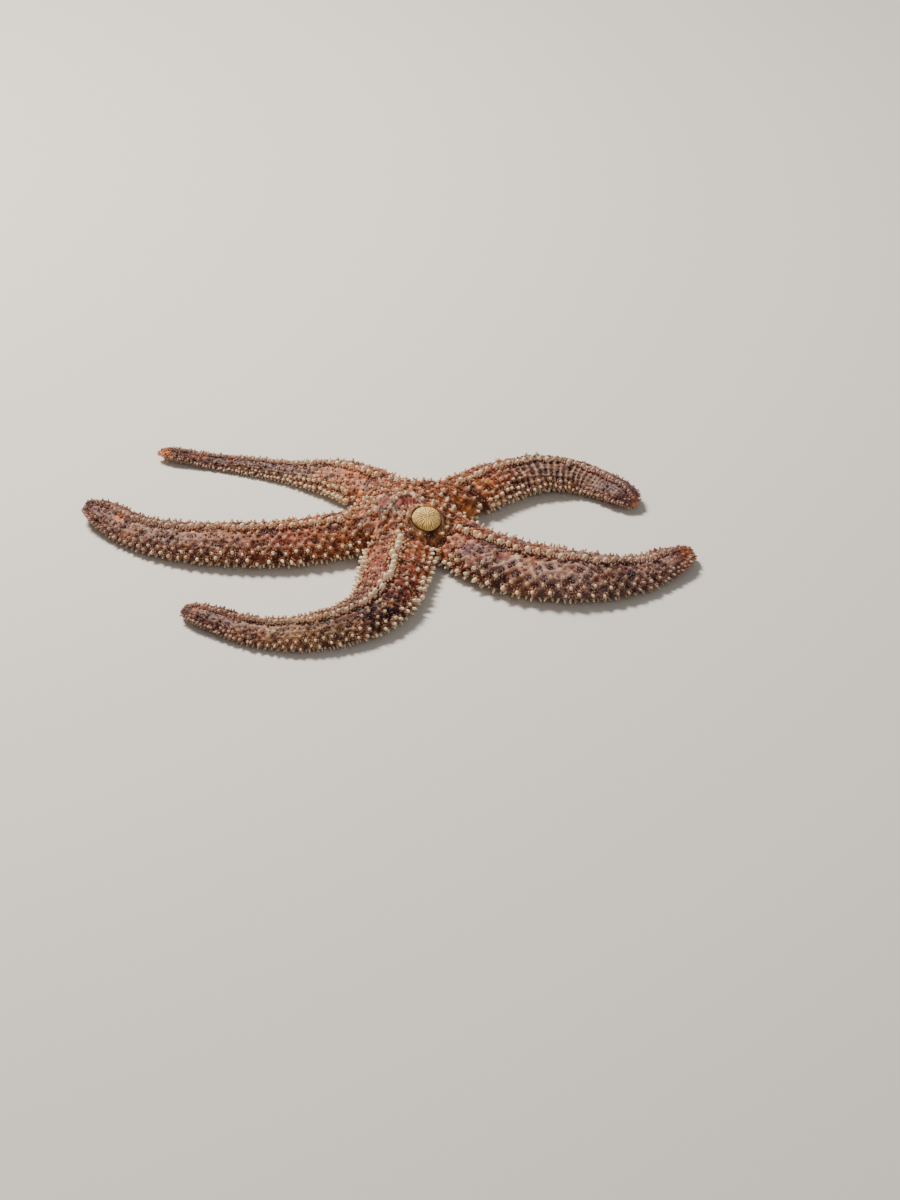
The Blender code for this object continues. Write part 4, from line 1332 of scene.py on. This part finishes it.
# ---------------------------------------------------------------------------------------------
# Groove spines. Slim movable spines stand in a close fence along both edges of each feeding
# groove and round the mouth. More than half of their tips come within 0.5 mm of the floor.
# ---------------------------------------------------------------------------------------------
needle_shape = turned_shape([(0.0, -0.15), (1.0, -0.1), (1.0, 0.45), (0.85, 0.80), (0.5, 0.95),
                             (0.0, 1.0)], 7)
FENCE_RADIUS, FENCE_LENGTH, FENCE_SINK = 0.00033, 0.0029, 0.0002
FENCE_GAP = 0.00015             # least height of the middle of their tips
JAW_SPINES = 7                  # spines of one jaw, three on each side and one at its point
FENCE_ROWS = (-0.33, 0.33, -0.43, 0.43)

fence_arm, fence_s, fence_t, fence_roots = under_rows(0.125, FENCE_ROWS, 0.27, 0.97, 0.012)
middle_line = under_roots(fence_arm, fence_s, 0.0 * fence_t)
inward = unit((middle_line.point - fence_roots.point) * [1.0, 1.0, 0.0])
inward = inward * np.where(np.abs(fence_t) < 0.38, 0.85, -0.75)[:, None]
fence_axis = inward + [0.0, 0.0, -0.60] + random.normal(0.0, 0.14, (len(fence_s), 3))

jaw_number = np.repeat(np.arange(5), JAW_SPINES)
fan = np.tile(np.linspace(-1.0, 1.0, JAW_SPINES), 5)
jaw_turn = jaw_bearing[jaw_number] + 0.36 * fan
jaw_reach = MOUTH_OUTER * (0.58 + 0.36 * np.abs(fan))
jaw_point = np.stack([jaw_reach * np.cos(jaw_turn), jaw_reach * np.sin(jaw_turn), 0.0 * fan + 0.0017], -1)
jaw_way = jaw_bearing[jaw_number] + 0.30 * fan + math.pi + random.normal(0.0, 0.18, len(fan))
jaw_axis = np.stack([np.cos(jaw_way), np.sin(jaw_way), random.uniform(-0.6, -0.25, len(fan))], -1)
jaw_flat = np.stack([sectors[k].under_flat[3, 2 + 6 * (n % JAW_SPINES)] for n, k in enumerate(jaw_number)])
jaw_roots = Roots(jaw_point + DISC_CENTRE, 0.0 * jaw_axis - [0.0, 0.0, 1.0], jaw_flat, 0.0 * jaw_axis + RUST,
                  0.0 * fan, 0.0 * fan, jaw_number, 0.0 * fan, 0.0 * fan + STANDARD_WIDTH)

fence_roots = Roots(*gather([fence_roots, jaw_roots]))
fence_axis = unit(np.concatenate([fence_axis, jaw_axis]))
fence_axis[:, 2] = np.minimum(fence_axis[:, 2], -0.30)
fence_axis = unit(fence_axis)
fence_scale = width_scale(fence_roots, 0.4, 1.0) * random.uniform(0.85, 1.1, len(fence_axis))
room_below = (fence_roots.point[:, 2] - FENCE_GAP) / -fence_axis[:, 2]
fence_length = np.minimum(FENCE_LENGTH * fence_scale, room_below)
fence_radius = FENCE_RADIUS * fence_scale
fence_radius[-len(fan):] *= 1.25
place_piece(grow("groove_spines", needle_shape, fence_roots, fence_axis, fence_radius, fence_length,
                 FENCE_SINK), spine_cream, "spine")

# ---------------------------------------------------------------------------------------------
# Tube feet. Four rows of soft feet fill each groove, straw-coloured and slightly clear, each
# ending in a flat sucker just above the floor.
# ---------------------------------------------------------------------------------------------
foot_shape = turned_shape([(0.0, -0.1), (0.64, -0.05), (0.58, 0.45), (0.62, 0.80), (0.98, 0.90),
                           (1.0, 0.985), (0.0, 1.0)], 8)
FOOT_ROWS = (-0.19, 0.19, -0.07, 0.07)
FOOT_RADIUS, FOOT_REACH = 0.00066, 0.0062


def foot_finish():
    """Thin muscular tube, straw to orange, ringed by fine creases, with a paler sucker."""
    f = damp_finish("foot_flesh", 0.5, 0.12, 0.25, 0.0015)
    shaft = f.blend(f.mark("tone"), (0.62, 0.34, 0.15), (0.74, 0.50, 0.26))
    colour = f.blend(f.steps(f.mark("height"), 0.80, 0.92), shaft, (0.84, 0.66, 0.42))
    creases = f.maths("SINE", f.maths("MULTIPLY", f.mark("height"), 70.0))
    return f.surface(colour, (800.0, 2.0, -1.2, 2.2), f.bump(creases, 0.00004))


_, foot_s, foot_t, foot_roots = under_rows(0.150, FOOT_ROWS, 0.27, 0.975, 0.006)
foot_scale = width_scale(foot_roots, 0.30, 1.1)
sideways = unit(foot_roots.normal * [1.0, 1.0, 0.0]) * np.abs(foot_t)[:, None] * 0.8
foot_axis = unit(np.array([0.0, 0.0, -1.0]) - 0.8 * sideways + random.normal(0.0, 0.10, (len(foot_s), 3)))
foot_length = np.minimum((foot_roots.point[:, 2] - FLOOR_GAP) / -foot_axis[:, 2], FOOT_REACH)
place_piece(grow("tube_feet", foot_shape, foot_roots, foot_axis, FOOT_RADIUS * foot_scale, foot_length,
                 0.0), foot_finish(), "soft_feet")

# ---------------------------------------------------------------------------------------------
# Floor, light and camera. A plain pale floor, a broad soft light from behind and above on the
# left, a wide weak one from the front, and a camera that looks down at thirty degrees.
# ---------------------------------------------------------------------------------------------
FLOOR_HALF = 3.0                # half the side of the floor
floor_mesh = bpy.data.meshes.new("floor")
floor_mesh.from_pydata([(-FLOOR_HALF, -FLOOR_HALF, 0.0), (FLOOR_HALF, -FLOOR_HALF, 0.0),
                        (FLOOR_HALF, FLOOR_HALF, 0.0), (-FLOOR_HALF, FLOOR_HALF, 0.0)], [],
                       [(0, 1, 2, 3)])
floor = add_object("floor", floor_mesh)
floor_paint = Finish("floor_paint", {"Base Color": (0.70, 0.68, 0.64, 1.0), "Roughness": 0.7})
floor_mesh.materials.append(floor_paint.material)


def soft_light(name, place, size, power, colour):
    """A square area light that faces the middle of the floor."""
    light = bpy.data.lights.new(name, "AREA")
    light.size = size
    light.energy = power
    light.color = colour
    lamp = add_object(name, light)
    lamp.location = place
    way = np.array(place)
    lamp.rotation_euler = (math.acos(way[2] / np.linalg.norm(way)), 0.0,
                           math.atan2(way[1], way[0]) + math.pi / 2)


soft_light("key", place=(-0.50, 0.55, 1.00), size=0.30, power=31.0, colour=(1.0, 0.93, 0.83))
soft_light("front", place=(0.35, -1.1, 0.9), size=0.9, power=3.2, colour=(1.0, 0.97, 0.93))
SKY_STRENGTH = 0.23
world = bpy.data.worlds.new("studio")
world.use_nodes = True
sky = world.node_tree.nodes["Background"].inputs
sky["Color"].default_value = (1.0, 0.98, 0.95, 1.0)
sky["Strength"].default_value = SKY_STRENGTH
bpy.context.scene.world = world

VIEW_DISTANCE = 1.5
LENS = 112.5                    # millimetres
VIEW_TILT = math.radians(30.0)
AIM = DISC_CENTRE + np.array([0.016, -0.0568, 0.0])
camera_data = bpy.data.cameras.new("camera")
camera_data.lens = LENS
camera_data.clip_start = 0.01
camera = add_object("camera", camera_data)
camera.location = AIM + VIEW_DISTANCE * np.array([0.0, -math.cos(VIEW_TILT), math.sin(VIEW_TILT)])
camera.rotation_euler = (math.pi / 2 - VIEW_TILT, 0.0, 0.0)
bpy.context.scene.camera = camera
